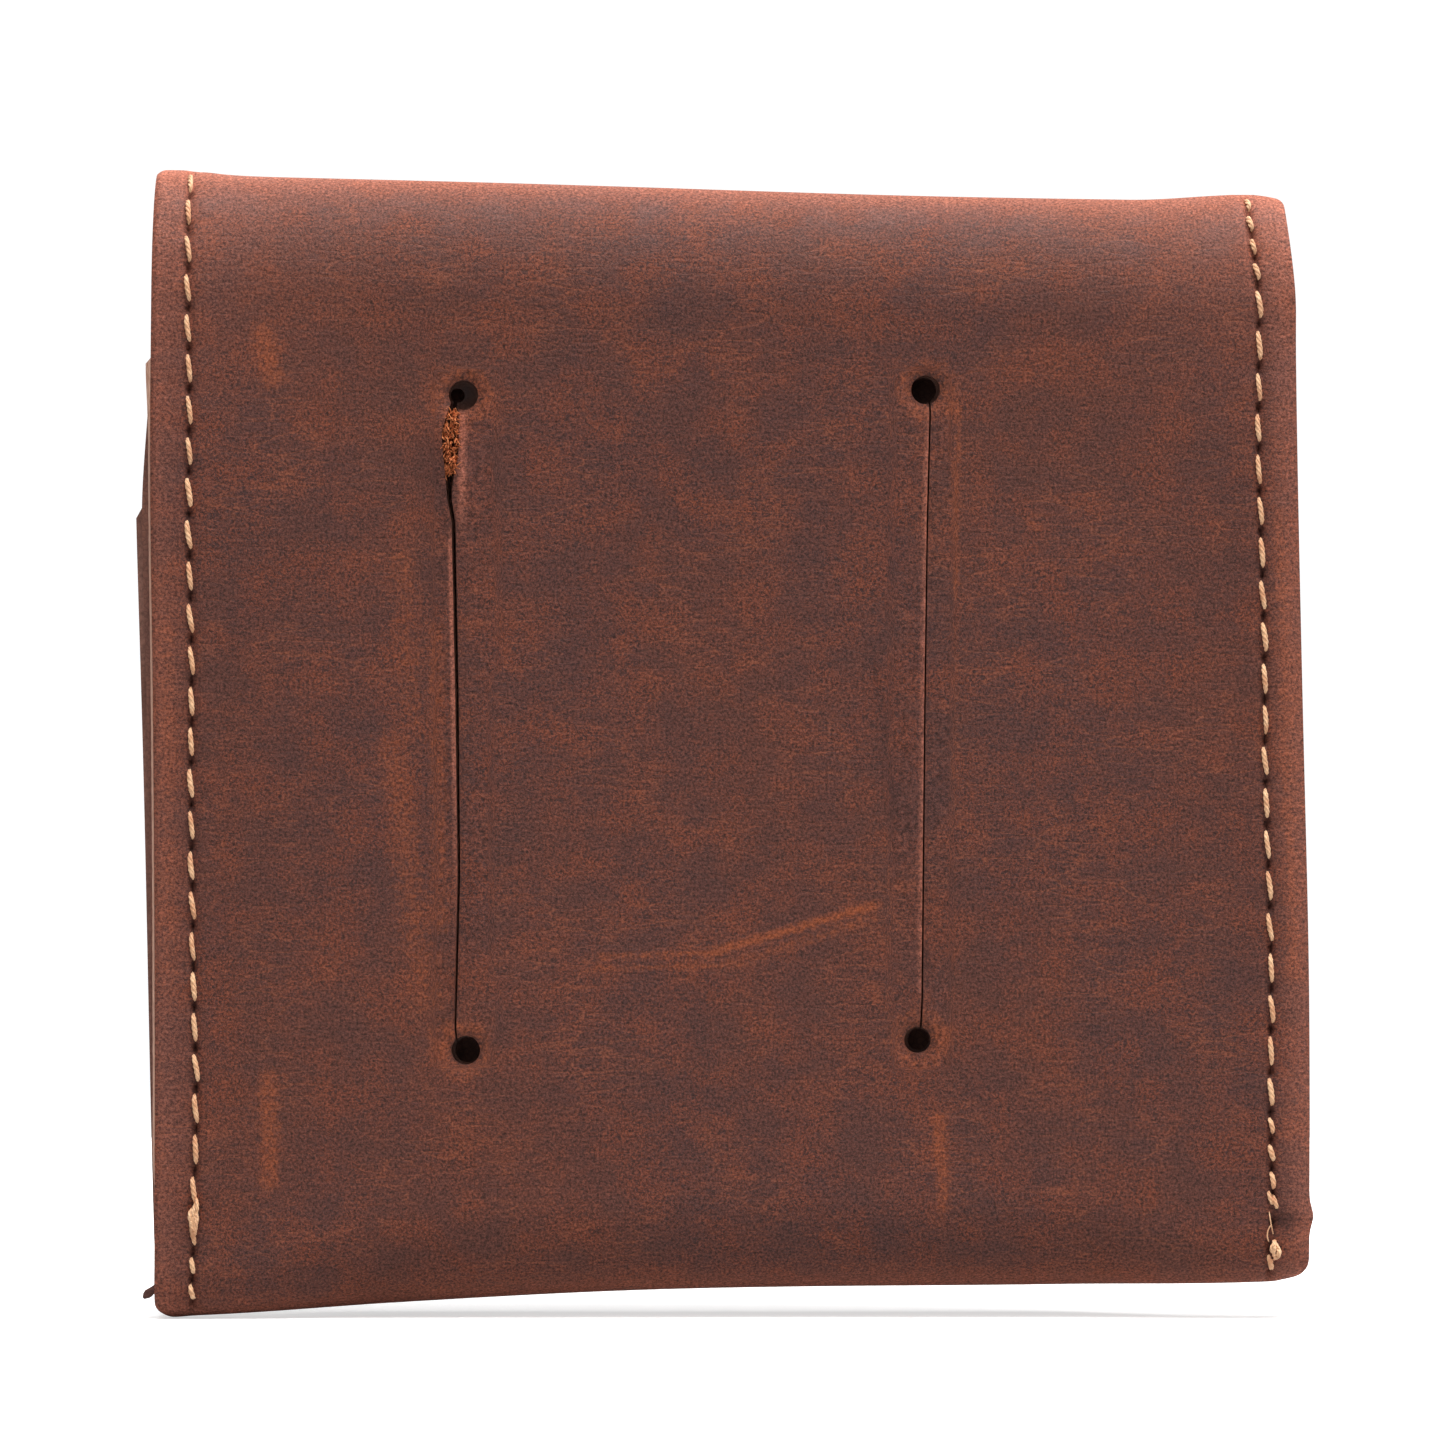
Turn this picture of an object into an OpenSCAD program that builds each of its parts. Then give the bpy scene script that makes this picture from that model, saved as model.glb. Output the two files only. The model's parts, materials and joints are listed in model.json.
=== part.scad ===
// Leather card holder with a flap, standing on its bottom fold.
// The back, with its two belt slits, faces -Y and the flap closes over the front on the +Y side.
// Left and right are named as seen from behind: left is -X and right is +X.
// The origin is at the middle of the underside of the whole holder.

/* [Case] */
// Width of the back along the bottom fold
case_w = 100; // [96:0.5:104]
// Height of the back at its left side
height_left = 99.8; // [96:0.2:104]
// How far the top fold drops from left to right
top_drop = 2.4; // [0.4:0.1:3.5]
// How far the bottom fold climbs from left to right
bottom_rise = 3.4; // [0.4:0.1:4.5]
// How far the right side leans in towards the top
side_lean = 1.6; // [0:0.1:2.5]
// How far the front pocket's top edge lies below the top fold
front_below_top = 29.3; // [27:0.1:32]
// How far the card pocket's top edge lies below the top fold
pocket_below_top = 17.4; // [15:0.1:20]
// How far the divider's top edge lies below the top fold
divider_below_top = 13; // [11:0.5:15]
// How far the front pocket stands out of the left side at its top edge
front_proud = 1.5; // [0.5:0.1:2]
// How far the card pocket stands out of the left side at its top edge
pocket_proud = 0.9; // [0:0.1:1.4]

/* [Leather] */
// Thickness of the outer leather
leather_t = 1.5; // [1.4:0.1:1.7]
// Thickness of the linings
lining_t = 0.6; // [0.5:0.1:0.8]
// Thickness of the divider and of the card pocket
pocket_t = 0.8; // [0.6:0.1:1]
// Width of the side margins, where all the layers are sewn together
margin_w = 6; // [5:0.5:7]
// Width over which each layer bows out from the margin to the middle
bow_w = 12; // [10:1:16]

/* [Room inside] */
// Gap between the back and the divider in the middle
main_gap = 4.3; // [4.2:0.1:4.6]
// Gap for the cards on each side of the card pocket
card_gap = 1; // [0.9:0.1:1.2]
// Gap between the front pocket and the closed flap
flap_gap = 0.3; // [0.3:0.1:0.5]

/* [Flap] */
// Length of the flap, measured down from the top fold
flap_len = 58; // [55:1:62]
// How far the flap's sides are set in from the sides of the back
flap_inset = 0.5; // [0.3:0.1:1]
// Radius of the flap's lower corners
flap_corner_r = 9; // [6:1:12]
// How far the press stud lies below the top fold
snap_below_top = 45; // [43:0.5:46]

/* [Belt slits] */
// Distance between the two slits
slit_spacing = 39.8; // [38:0.1:42]
// Distance between the punched holes at the two ends of a slit
slit_len = 56.8; // [54:0.1:58]
// Width of the cut itself
slit_w = 0.4; // [0.3:0.1:0.6]
// Radius of the punched holes
hole_r = 1.28; // [1.2:0.01:1.4]
// Sideways place of the middle of the slits, from the middle of the back
slit_x = -3.1; // [-5:0.1:5]
// Height of the middle of the slits above the lowest point
slit_z = 52.3; // [50:0.1:54]

/* [Sewing] */
// Distance from a side to its seam
seam_inset = 3.3; // [3:0.1:3.8]
// Length of one stitch with its gap
stitch_pitch = 3.6; // [3.2:0.1:4]
// Length of the thread that shows in one stitch
stitch_len = 2.3; // [2:0.1:2.6]
// Radius of the thread
thread_r = 0.25; // [0.2:0.01:0.28]
// Width of the groove that the stitches lie in
groove_w = 0.8; // [0.7:0.1:1]

/* [Hidden] */
$fn = 64;

half_w = case_w / 2;
top_tilt = atan(top_drop / case_w);
bottom_tilt = atan(bottom_rise / case_w);

// Each layer's back face, counted forward from the back's outer face. The layers lie together in the
// side margins and stand apart in the middle.
lining_y = leather_t;
divider_margin_y = lining_y + lining_t;
divider_y = divider_margin_y + main_gap;
pocket_margin_y = divider_margin_y + pocket_t;
pocket_y = divider_y + pocket_t + card_gap;
front_margin_y = pocket_margin_y + pocket_t;
front_y = pocket_y + pocket_t + card_gap;
case_d = front_y + leather_t;
flap_lining_y = case_d + flap_gap;
flap_y = flap_lining_y + lining_t;
fold_d = flap_y + leather_t;

fold_r = fold_d / 2;
bottom_r = case_d / 2;
bend_angle = 45;
bend_gap = 2.5;
back_run = 4;
hair = 0.02;
past = 1;
layer_foot = 7;
lining_inset = 0.4;
groove_d = 2 * thread_r + 0.02;
sewn_foot = 7.5;
reach = 200;
sides_low = -20;
sides_high = 130;

// Press stud: each piece's radius and thickness, and how deep the leather is pinched between its pieces
cap_r = 6.2;
cap_h = 1.1;
socket_r = 5.4;
socket_h = 1.2;
shank_r = 2.4;
stud_flange_r = 4.3;
stud_flange_t = 0.45;
stud_r = 1.9;
stud_h = 1.3;
post_r = 1.2;
rivet_len = 0.9;
pinch = 0.5;
cap_pinch = 0.4;
play = 0.1;
stud_play = 0.2;
snap_z = top_z(0) - snap_below_top;

depth = fold_d + cap_h;
origin_shift = [front_proud / 2, -depth / 2, 0];

function bottom_z(x) = bottom_rise * (x + half_w) / case_w;
function top_z(x) = height_left - top_drop * (x + half_w) / case_w;
function right_x(z) = half_w - side_lean * (z - bottom_rise) / (top_z(half_w) - bottom_rise);

// Points of a round corner, from one angle to the next
function arc(centre, radius, from, to, steps = 8) =
    [for (i = [0:steps]) let (a = from + (to - from) * i / steps) centre + radius * [cos(a), sin(a)]];

// Cross-section seen from above of a layer that is flat at the sides and bows forward in the middle
function bowed(margin_y, middle_y) =
    [[-reach, margin_y], [-half_w + margin_w, margin_y], [-half_w + margin_w + bow_w, middle_y],
     [half_w - margin_w - bow_w, middle_y], [half_w - margin_w, margin_y], [reach, margin_y]];
function reversed(points) = [for (i = [len(points) - 1:-1:0]) points[i]];
function layer(margin_y, middle_y, t) =
    concat(bowed(margin_y, middle_y), reversed(bowed(margin_y + t, middle_y + t)));

// The sides seen from behind, from far below to far above. The left side can lean out towards the top.
function sides(proud = 0) =
    [[-half_w, sides_low], [right_x(sides_low), sides_low], [right_x(sides_high), sides_high],
     [-half_w - proud, sides_high]];
// The band between a height above the bottom fold and a distance below the top fold
function band(above_bottom, below_top) =
    [[-reach, bottom_z(-reach) + above_bottom], [reach, bottom_z(reach) + above_bottom],
     [reach, top_z(reach) - below_top], [-reach, top_z(-reach) - below_top]];
// Everything above a line parallel to the top fold
function above(below_top) =
    [[-reach, top_z(-reach) - below_top], [reach, top_z(reach) - below_top],
     [reach, 2 * reach], [-reach, 2 * reach]];
module outside(proud) {
    difference() {
        translate([-reach, -reach]) square(3 * reach);
        polygon(sides(proud));
    }
}
// How far the left side leans out at sides_high, so that it stands out by proud at a distance below the fold
function lean_out(proud, below_top) =
    proud * (sides_high - sides_low) / (top_z(-half_w) - below_top - sides_low);

module placed() translate(origin_shift) children();

// Extrudes an outline in X and Z forward, from y to y + t
module upright(y, t) translate([0, y + t, 0]) rotate([90, 0, 0]) linear_extrude(height = t) children();

// A layer of one thickness that follows the bow, cut to the sides and to a band
module bowed_layer(margin_y, middle_y, t, above_bottom, below_top, proud) {
    intersection() {
        linear_extrude(height = reach) polygon(layer(margin_y, middle_y, t));
        upright(-1, case_d + 2) intersection() {
            polygon(sides(lean_out(proud, below_top)));
            polygon(band(above_bottom, below_top));
        }
    }
}

// Space that the case fills, or with inset the room inside its outer leather. The plan reaches past the
// side view at the front and back, so that one view alone sets each face.
module case_space(inset) {
    radius = bottom_r - inset;
    margin_y = front_margin_y + leather_t - inset;
    past_w = past * bow_w / (front_y - front_margin_y);
    bow_start = half_w - margin_w;
    bow_end = bow_start - bow_w - past_w;
    intersection() {
        translate([0, 0, -1]) linear_extrude(height = reach)
            polygon([[-reach, inset - past], [-reach, margin_y], [-bow_start, margin_y],
                     [-bow_end, case_d - inset + past], [bow_end, case_d - inset + past],
                     [bow_start, margin_y], [reach, margin_y], [reach, inset - past]]);
        translate([-half_w, bottom_r, 0]) rotate([0, -bottom_tilt, 0]) translate([-reach / 2, 0, 0])
            rotate([90, 0, 90]) linear_extrude(height = 2 * reach) {
                translate([0, bottom_r]) circle(radius);
                translate([-radius, bottom_r]) square([2 * radius, reach]);
            }
    }
}

// Extrudes a profile of depth and height along the top fold, from the back's face and the top of the fold
module along_fold() {
    translate([-half_w, 0, height_left]) rotate([0, top_tilt, 0]) translate([-reach / 4, 0, 0])
        rotate([90, 0, 90]) linear_extrude(height = reach) children();
}
// Part of a tube round the fold's middle, from one angle to another: 0 is at the back and 180 at the front
module fold_ring(outer_r, t, from, to) {
    translate([fold_r, -fold_r]) intersection() {
        difference() {
            circle(outer_r);
            circle(outer_r - t);
        }
        polygon([[0, 0], for (a = [from, (from + to) / 2, to]) 2 * fold_r * [-cos(a), sin(a)]]);
    }
}
// A layer that runs up the back and round the first part of the fold
module back_layer(outer_r, t, run) {
    along_fold() {
        fold_ring(outer_r, t, 0, bend_angle);
        translate([fold_r - outer_r, -fold_r - run]) square([t, run]);
    }
}
// The middle part of the fold, on its own, between the two bends
module fold_middle(outer_r, t) {
    intersection() {
        along_fold() fold_ring(outer_r, t, bend_angle + bend_gap, 180 - bend_angle - bend_gap);
        upright(-1, fold_d + 2) polygon(sides());
    }
}
// A layer that runs round the last part of the fold and down the flap
module flap_layer(outer_r, t, inset) {
    intersection() {
        along_fold() {
            fold_ring(outer_r, t, 180 - bend_angle, 180);
            translate([fold_r + outer_r - t, -fold_r - reach / 2]) square([t, reach / 2]);
        }
        upright(fold_r, fold_r + 1) flap_outline(inset);
    }
}

// One slit with its two punched holes, cut from y for a depth of t
module slit(x, y, t) {
    upright(y, t) {
        for (end = [-1, 1]) translate([x, slit_z + end * slit_len / 2]) circle(hole_r);
        translate([x - slit_w / 2, slit_z - slit_len / 2]) square([slit_w, slit_len]);
    }
}
module slits(y, t) for (side = [-1, 1]) slit(slit_x + side * slit_spacing / 2, y, t);

// The ends of a seam line in X and Z, set in from the left or right side
function left_seam(low, high) = [[-half_w + seam_inset, low], [-half_w + seam_inset, high]];
function right_seam(low, high) = [[right_x(low) - seam_inset, low], [right_x(high) - seam_inset, high]];

// Places its children at the foot of a seam, with Z along the seam
module along(seam, y) {
    run = seam[1] - seam[0];
    translate([seam[0].x, y, seam[0].y]) rotate([0, atan2(run.x, run.y), 0]) children();
}
module groove(seam, y) {
    along(seam, y) translate([-groove_w / 2, 0, 0]) cube([groove_w, groove_d, norm(seam[1] - seam[0])]);
}
// A row of stitches along a seam, with the thread's middle at y
module stitches(seam, y) {
    count = floor(norm(seam[1] - seam[0]) / stitch_pitch);
    along(seam, y) for (i = [0:count - 1])
        translate([0, 0, (i + 0.5) * stitch_pitch - stitch_len / 2])
            cylinder(h = stitch_len, r = thread_r, $fn = 24);
}

back_top = top_z(half_w) - fold_r;
front_top = top_z(half_w) - front_below_top;
back_seams = [left_seam(sewn_foot, back_top), right_seam(sewn_foot, back_top)];
front_seams = [left_seam(sewn_foot, front_top), right_seam(sewn_foot, front_top)];
flap_foot = top_z(-half_w) - flap_len + flap_corner_r;
flap_seams = [left_seam(flap_foot, back_top), right_seam(flap_foot, back_top)];
front_face = front_margin_y + leather_t;

// Front pocket, bottom fold, back and the beginning of the top fold in one strip of leather.
// The fold is thinner than the back by a hair on every side, so that no two faces lie on each other.
module outer_shell() {
    split_y = (lining_y + front_margin_y) / 2;
    color("#6b4338") placed() difference() {
        union() {
            difference() {
                case_space(0);
                case_space(leather_t);
                upright(-1, split_y + 1) {
                    polygon(above(fold_r + back_run / 2));
                    outside(0);
                }
                upright(split_y, case_d) {
                    polygon(above(front_below_top));
                    outside(lean_out(front_proud, front_below_top));
                }
            }
            intersection() {
                back_layer(fold_r - hair, leather_t - 2 * hair, back_run);
                upright(-1, fold_d) intersection() {
                    translate([hair, 0]) polygon(sides());
                    translate([-hair, 0]) polygon(sides());
                }
            }
        }
        slits(-1, lining_y + 1.5);
        for (seam = back_seams) groove(seam, 0);
        for (seam = front_seams) groove(seam, front_face - groove_d);
        snap_hole(front_y - 1, front_y + pinch, stud_flange_r + play);
        snap_hole(front_y - 1, case_d + 1, post_r + play);
        snap_hole(case_d - pinch, case_d + 1, stud_flange_r + play);
    }
}

// The same strip where it rolls over the top
module top_fold() {
    color("#8a5548") placed() fold_middle(fold_r, leather_t);
}

// Outline of the flap seen from behind, open past the top fold, with round lower corners
module flap_outline(inset) {
    left = -half_w + flap_inset + inset;
    low = top_z(-half_w) - flap_len + inset;
    right = right_x(low) - flap_inset - inset;
    right_low = low - top_drop;
    radius = flap_corner_r - inset;
    polygon(concat(
        [[right_x(sides_high) - flap_inset - inset, sides_high], [left, sides_high]],
        arc([left + radius, low + radius], radius, 180, 270),
        arc([right - radius, right_low + radius], radius, 270, 360)));
}

// A round hole for the press stud, from y to y_end
module snap_hole(y, y_end, radius) {
    translate([0, y, snap_z]) rotate([-90, 0, 0]) cylinder(h = y_end - y, r = radius);
}

// The free end of the strip, which closes over the front
module flap_leather() {
    color("#6b4338") placed() difference() {
        flap_layer(fold_r, leather_t, 0);
        for (seam = flap_seams) groove(seam, fold_d - groove_d);
        snap_hole(flap_y - 1, flap_y + pinch, socket_r + play);
        snap_hole(flap_y - 1, fold_d + 1, shank_r + play);
        snap_hole(fold_d - cap_pinch, fold_d + 1, cap_r + play);
    }
}

// Thin leather glued behind the back, slit with it
module back_lining() {
    color("#8a6a50") placed() difference() {
        intersection() {
            back_layer(fold_r - leather_t, lining_t, reach / 2);
            upright(-1, fold_d) intersection() {
                polygon(sides());
                polygon(band(layer_foot, -reach));
            }
        }
        slits(lining_y - 1, lining_t + 2);
    }
}

module fold_lining() {
    color("#8a6a50") placed() fold_middle(fold_r - leather_t, lining_t);
}

module flap_lining() {
    color("#8a6a50") placed() difference() {
        flap_layer(fold_r - leather_t, lining_t, lining_inset);
        snap_hole(flap_lining_y - 1, flap_y + 1, socket_r + play);
    }
}

// Wall between the main room and the cards
module divider() {
    color("#7a5040") placed()
        bowed_layer(divider_margin_y, divider_y, pocket_t, layer_foot, divider_below_top, 0);
}

// Pocket panel in front of the divider, with cards on both sides of it
module card_pocket() {
    color("#7a5040") placed()
        bowed_layer(pocket_margin_y, pocket_y, pocket_t, layer_foot, pocket_below_top, pocket_proud);
}

module left_seam_thread() { color("#e0b98c") placed() stitches(back_seams[0], thread_r); }
module right_seam_thread() { color("#e0b98c") placed() stitches(back_seams[1], thread_r); }
module left_bobbin_thread() { color("#e0b98c") placed() stitches(front_seams[0], front_face - thread_r); }
module right_bobbin_thread() { color("#e0b98c") placed() stitches(front_seams[1], front_face - thread_r); }
module flap_left_thread() { color("#e0b98c") placed() stitches(flap_seams[0], fold_d - thread_r); }
module flap_right_thread() { color("#e0b98c") placed() stitches(flap_seams[1], fold_d - thread_r); }

// Turns a profile of radius and forward height about the press stud's axis, starting at y
module snap_turned(y) {
    translate([0, y, snap_z]) rotate([-90, 0, 0]) rotate_extrude() children();
}

// Domed cap on the outside of the flap, with the shank that rivets the socket to it
module snap_cap() {
    color("#b08d4f") placed() {
        snap_turned(fold_d - cap_pinch)
            polygon(concat([[0, 0], [cap_r, 0], [cap_r, cap_pinch + 0.2]],
                    [for (i = [1:6]) [cap_r * cos(15 * i), cap_pinch + 0.2 + (cap_h - 0.2) * sin(15 * i)]]));
        snap_turned(flap_y + pinch) square([shank_r, leather_t - pinch - cap_pinch]);
    }
}

// Ring under the flap that the stud's head snaps into
module snap_socket() {
    color("#b08d4f") placed() snap_turned(flap_y + pinch - socket_h)
        polygon([[stud_r + stud_play, 0.3], [stud_r + stud_play + 0.3, 0], [socket_r - 0.4, 0],
                 [socket_r, 0.4], [socket_r, socket_h], [stud_r + stud_play, socket_h]]);
}

// Stud on the outside of the front pocket
module snap_stud() {
    color("#b08d4f") placed() difference() {
        snap_turned(case_d - pinch)
            polygon([[0, 0], [stud_flange_r, 0], [stud_flange_r, stud_flange_t], [stud_r, stud_flange_t],
                     [stud_r, stud_flange_t + stud_h - 0.5], [stud_r - 0.5, stud_flange_t + stud_h],
                     [0, stud_flange_t + stud_h]]);
        snap_hole(case_d - pinch - 1, case_d - pinch + rivet_len + 0.02, post_r + 0.02);
    }
}

// Eyelet behind the front pocket, whose post is riveted inside the stud
module snap_post() {
    color("#b08d4f") placed() {
        snap_turned(front_y) square([stud_flange_r, pinch]);
        snap_turned(front_y + pinch) square([post_r, leather_t - 2 * pinch + rivet_len]);
    }
}

outer_shell();
top_fold();
flap_leather();
back_lining();
fold_lining();
flap_lining();
divider();
card_pocket();
left_seam_thread();
right_seam_thread();
left_bobbin_thread();
right_bobbin_thread();
flap_left_thread();
flap_right_thread();
snap_cap();
snap_socket();
snap_stud();
snap_post();
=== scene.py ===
"""Looks of the leather card holder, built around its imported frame.

Lengths are in millimetres until mesh_object() makes a mesh of them. Left is -X and right is +X, as seen
from behind, where the belt slits are. A strip of leather is laid out in "home" coordinates: across it by
the x where a point would be if the holder were straight, and along it by the distance s, which is the
same as the height z on the back.
"""

import json
import math
import random

import bmesh
import bpy
import numpy as np
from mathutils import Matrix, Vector


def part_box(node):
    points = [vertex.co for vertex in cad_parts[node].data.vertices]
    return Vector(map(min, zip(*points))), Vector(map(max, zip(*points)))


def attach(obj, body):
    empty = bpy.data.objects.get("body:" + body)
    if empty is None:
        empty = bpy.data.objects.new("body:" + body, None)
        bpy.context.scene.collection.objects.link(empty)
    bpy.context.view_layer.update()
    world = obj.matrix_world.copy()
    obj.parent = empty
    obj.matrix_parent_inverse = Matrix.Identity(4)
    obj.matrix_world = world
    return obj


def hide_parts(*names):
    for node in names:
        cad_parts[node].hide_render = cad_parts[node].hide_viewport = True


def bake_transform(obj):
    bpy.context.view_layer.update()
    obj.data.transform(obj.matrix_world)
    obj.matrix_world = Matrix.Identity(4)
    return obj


MM = 0.001
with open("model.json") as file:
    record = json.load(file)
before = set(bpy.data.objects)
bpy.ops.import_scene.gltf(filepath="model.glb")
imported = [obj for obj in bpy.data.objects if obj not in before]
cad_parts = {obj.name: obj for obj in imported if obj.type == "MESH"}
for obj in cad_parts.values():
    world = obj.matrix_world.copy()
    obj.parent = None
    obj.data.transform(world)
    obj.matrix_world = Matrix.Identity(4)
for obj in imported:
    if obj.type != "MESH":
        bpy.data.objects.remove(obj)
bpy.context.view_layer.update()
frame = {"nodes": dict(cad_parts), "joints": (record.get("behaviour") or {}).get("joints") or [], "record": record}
chance = random.Random(7)


# ---------------------------------------------------------------- measures from the frame

def corners(node):
    """Lowest and highest corner of a CAD node."""
    return [np.array(corner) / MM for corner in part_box(node)]


def node_points(node):
    return np.array([v.co for v in frame["nodes"][node].data.vertices]) / MM


def ease(t):
    """0 below 0 and 1 above 1, with a smooth change between."""
    t = np.clip(t, 0, 1)
    return t * t * (3 - 2 * t)


def hump(distance, width):
    return np.exp(-(np.asarray(distance) / width) ** 2)


shell_low, shell_high = corners("outer_shell")
fold_high = corners("top_fold")[1]
flap_low, flap_high = corners("flap_leather")
lining_low = corners("back_lining")[0]
divider_low, divider_high = corners("divider")
pocket_low, pocket_high = corners("card_pocket")
cap_low, cap_high = corners("snap_cap")
socket_low, socket_high = corners("snap_socket")
stud_low, stud_high = corners("snap_stud")
post_low, post_high = corners("snap_post")

BACK_Y = shell_low[1]
FRONT_Y = shell_high[1]
FLAP_Y = flap_high[1]
LEATHER = lining_low[1] - BACK_Y
LINING = divider_low[1] - lining_low[1]
POCKET = pocket_low[1] - divider_low[1]
MARGIN_Y = pocket_low[1] + POCKET + LEATHER
FOLD_R = (FLAP_Y - BACK_Y) / 2
FOLD_RISE = 1.55 * FOLD_R
FOOT_RISE = 8.0
FLAP_CORNER_R = 9.0
LEFT = lining_low[0]
RIGHT = shell_high[0]
TOP_LEFT = fold_high[2]
SNAP_X = (cap_low[0] + cap_high[0]) / 2
SNAP_Z = (cap_low[2] + cap_high[2]) / 2
CAP_R = (cap_high[0] - cap_low[0]) / 2
SOCKET_R = (socket_high[0] - socket_low[0]) / 2
STUD_R = (stud_high[0] - stud_low[0]) / 2
POST_R = (post_high[0] - post_low[0]) / 2

fold_joint, flap_joint = frame["joints"]
AXIS = Vector(fold_joint["axis"])
TOP_SLOPE = AXIS.z / AXIS.x
shell_points = node_points("outer_shell")
FOOT_SLOPE = shell_points[shell_points[:, 0] > RIGHT - 4][:, 2].min() / (RIGHT - 4 - LEFT)
PROUD = LEFT - shell_low[0]
POCKET_PROUD = LEFT - pocket_low[0]
RIGHT_LEAN = RIGHT - fold_high[0]


def top_z(x):
    """Height of the top fold, which sags a little right of its middle and stands up at its two ends."""
    straight = TOP_LEFT + 0.3 + TOP_SLOPE * (x - LEFT)
    ends = 0.4 * hump(x - LEFT - 1.5, 4) + 0.6 * ease((x - 36) / 12)
    return straight - 0.3 * hump(x - 18, 26) + ends


def foot_z(x):
    """Height of the bottom fold, which arches up a little left of its middle."""
    return FOOT_SLOPE * (x - LEFT) + 0.7 * hump(x + 8, 26) - 0.3 * ease((x - 8) / 38)


def below_top(points):
    """How far the highest of the points lie below the straight line of the top fold."""
    return (TOP_LEFT + TOP_SLOPE * (points[:, 0] - LEFT) - points[:, 2]).min()


FRONT_BELOW_TOP = below_top(shell_points[shell_points[:, 1] > MARGIN_Y + 1])
POCKET_BELOW_TOP = below_top(node_points("card_pocket"))
DIVIDER_BELOW_TOP = below_top(node_points("divider"))

holes = frame["record"]["mounts"][0]
HOLE_R = holes["dims"]["hole_r_mm"]
SLIT_X = [holes["pos_m"][0] / MM + side * holes["dims"]["spacing_x_mm"] / 2 for side in (-1, 1)]
SLIT_Z = [holes["pos_m"][2] / MM + side * holes["dims"]["spacing_y_mm"] / 2 for side in (-1, 1)]
SEAM_X = [corners("left_seam_thread")[0][0] + 0.25, corners("right_seam_thread")[1][0] - 0.25]
SEAM_START = [0.9, 0.4]                # of the first needle hole, above the foot
SEAM_EVEN = [(4, 200), (17, 87)]       # heights between which the stitches are evenly long
STITCH_PITCH = 3.6
STITCH_LEN = 2.6
THREAD_R = 0.235

# The cut of each slit: places down it from 0 at the top hole to 1 at the bottom one, how far it wanders
# sideways there, and half its width there
CUTS = [
    dict(down=[0, 0.03, 0.06, 0.1, 0.13, 0.16, 0.2, 0.47, 0.74, 0.98, 1],
         aside=[-0.7, -1.0, -1.25, -1.2, -1.3, -1.35, -0.95, -0.65, -0.48, -0.8, -0.6],
         half=[0.2, 0.45, 0.75, 0.65, 0.35, 0.2, 0.17, 0.15, 0.11, 0.08, 0.1]),
    dict(down=[0, 0.03, 0.2, 0.5, 0.93, 1],
         aside=[0.6, 0.7, 0.45, 0.22, 0, -0.2],
         half=[0.1, 0.08, 0.07, 0.07, 0.08, 0.1]),
]
# For each slit, its lower and upper punched hole: offset across and up from its place, and relative size
PUNCHED = [[(0.1, -0.45, 0.98), (-0.1, -0.25, 1.0)], [(-0.4, 0.45, 0.9), (0.3, 0.2, 0.98)]]
# The holes in the lining behind them: offset across from the punched one, and radius
LINING_HOLES = [[(0.15, 1.1), (-0.55, 0.62)], [(0.1, 0.95), (-0.15, 1.1)]]


# ---------------------------------------------------------------- shape of the strip

def corner_round(distance, radius):
    """How far a round corner of that radius moves in, at a distance from the edge that it runs into."""
    into = np.clip(radius - distance, 0, radius)
    return radius - np.sqrt(radius ** 2 - into ** 2)


def side_shift(home, z, proud):
    """Moves points sideways so that the strip's sides follow the real outline. proud says how far the
    front pocket stands out at the left, which the back doesn't."""
    height = z - foot_z(home)
    depth = top_z(home) - z
    stands_out = proud * ease(height / 5) * np.clip(height / 70, 0, 1) ** 0.75
    left = -(0.35 * hump(z - 76, 22) + stands_out) * (1 - ease((home - LEFT) / 9))
    left_corners = (corner_round(height, 1.3) + corner_round(depth, 0.4)) * (1 - ease((home - LEFT) / 4))
    lean = RIGHT_LEAN * (0.5 * np.clip(height / (TOP_LEFT - 4), 0, 1) + 0.5 * ease((height - 84) / 13))
    right = (0.75 * hump(z - 26, 34) - lean) * ease((home - RIGHT + 18) / 18)
    nub = 0.35 * hump(z - 9, 1.0) * (proud == 0)
    right_corners = corner_round(height, 1.9) + corner_round(depth, 1.0) - nub
    return left + left_corners + right - right_corners * ease((home - RIGHT + 4) / 4)


def seam_shift(home, z):
    """The seams wander a little, as a hand-guided seam does."""
    left = 0.06 * np.sin(z / 4.1) + 0.4 * hump(z - 19, 8) - 0.25 * ease((z - 70) / 26) - 0.15 * hump(z, 4)
    right = 0.08 * np.sin(z / 4.6 + 1) + 0.15 * hump(z - 11, 6)
    return left * hump(home - SEAM_X[0], 2.2) + right * hump(home - SEAM_X[1], 2.2)


def down_slit(z):
    """Place down the slits: 0 at the top hole and 1 at the bottom one."""
    return (SLIT_Z[1] - z) / (SLIT_Z[1] - SLIT_Z[0])


def slit_shift(home, z):
    """The strip's columns follow the two cuts, which aren't straight."""
    down = down_slit(z)
    fade = ease((1.25 - down) / 0.2) * ease((down + 0.25) / 0.2)
    return sum(np.interp(down, cut["down"], cut["aside"]) * fade * hump(home - x, 3.5)
               for cut, x in zip(CUTS, SLIT_X))


def bow(home):
    """0 in the side margins and 1 in the middle, where the layers bow forward."""
    return ease((home - LEFT - 5) / 16) * ease((RIGHT - 5 - home) / 16)


def front_face(home):
    return MARGIN_Y + (FRONT_Y - MARGIN_Y) * bow(home)


def back_wave(home, z):
    """Slight unevenness of the back."""
    wave = 0.10 * np.sin(home / 9.0 + z / 21.0) + 0.09 * np.sin(z / 11.0 - home / 15.0 + 2)
    return wave * ease((z - 10) / 12) * ease((84 - z) / 14)


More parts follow.
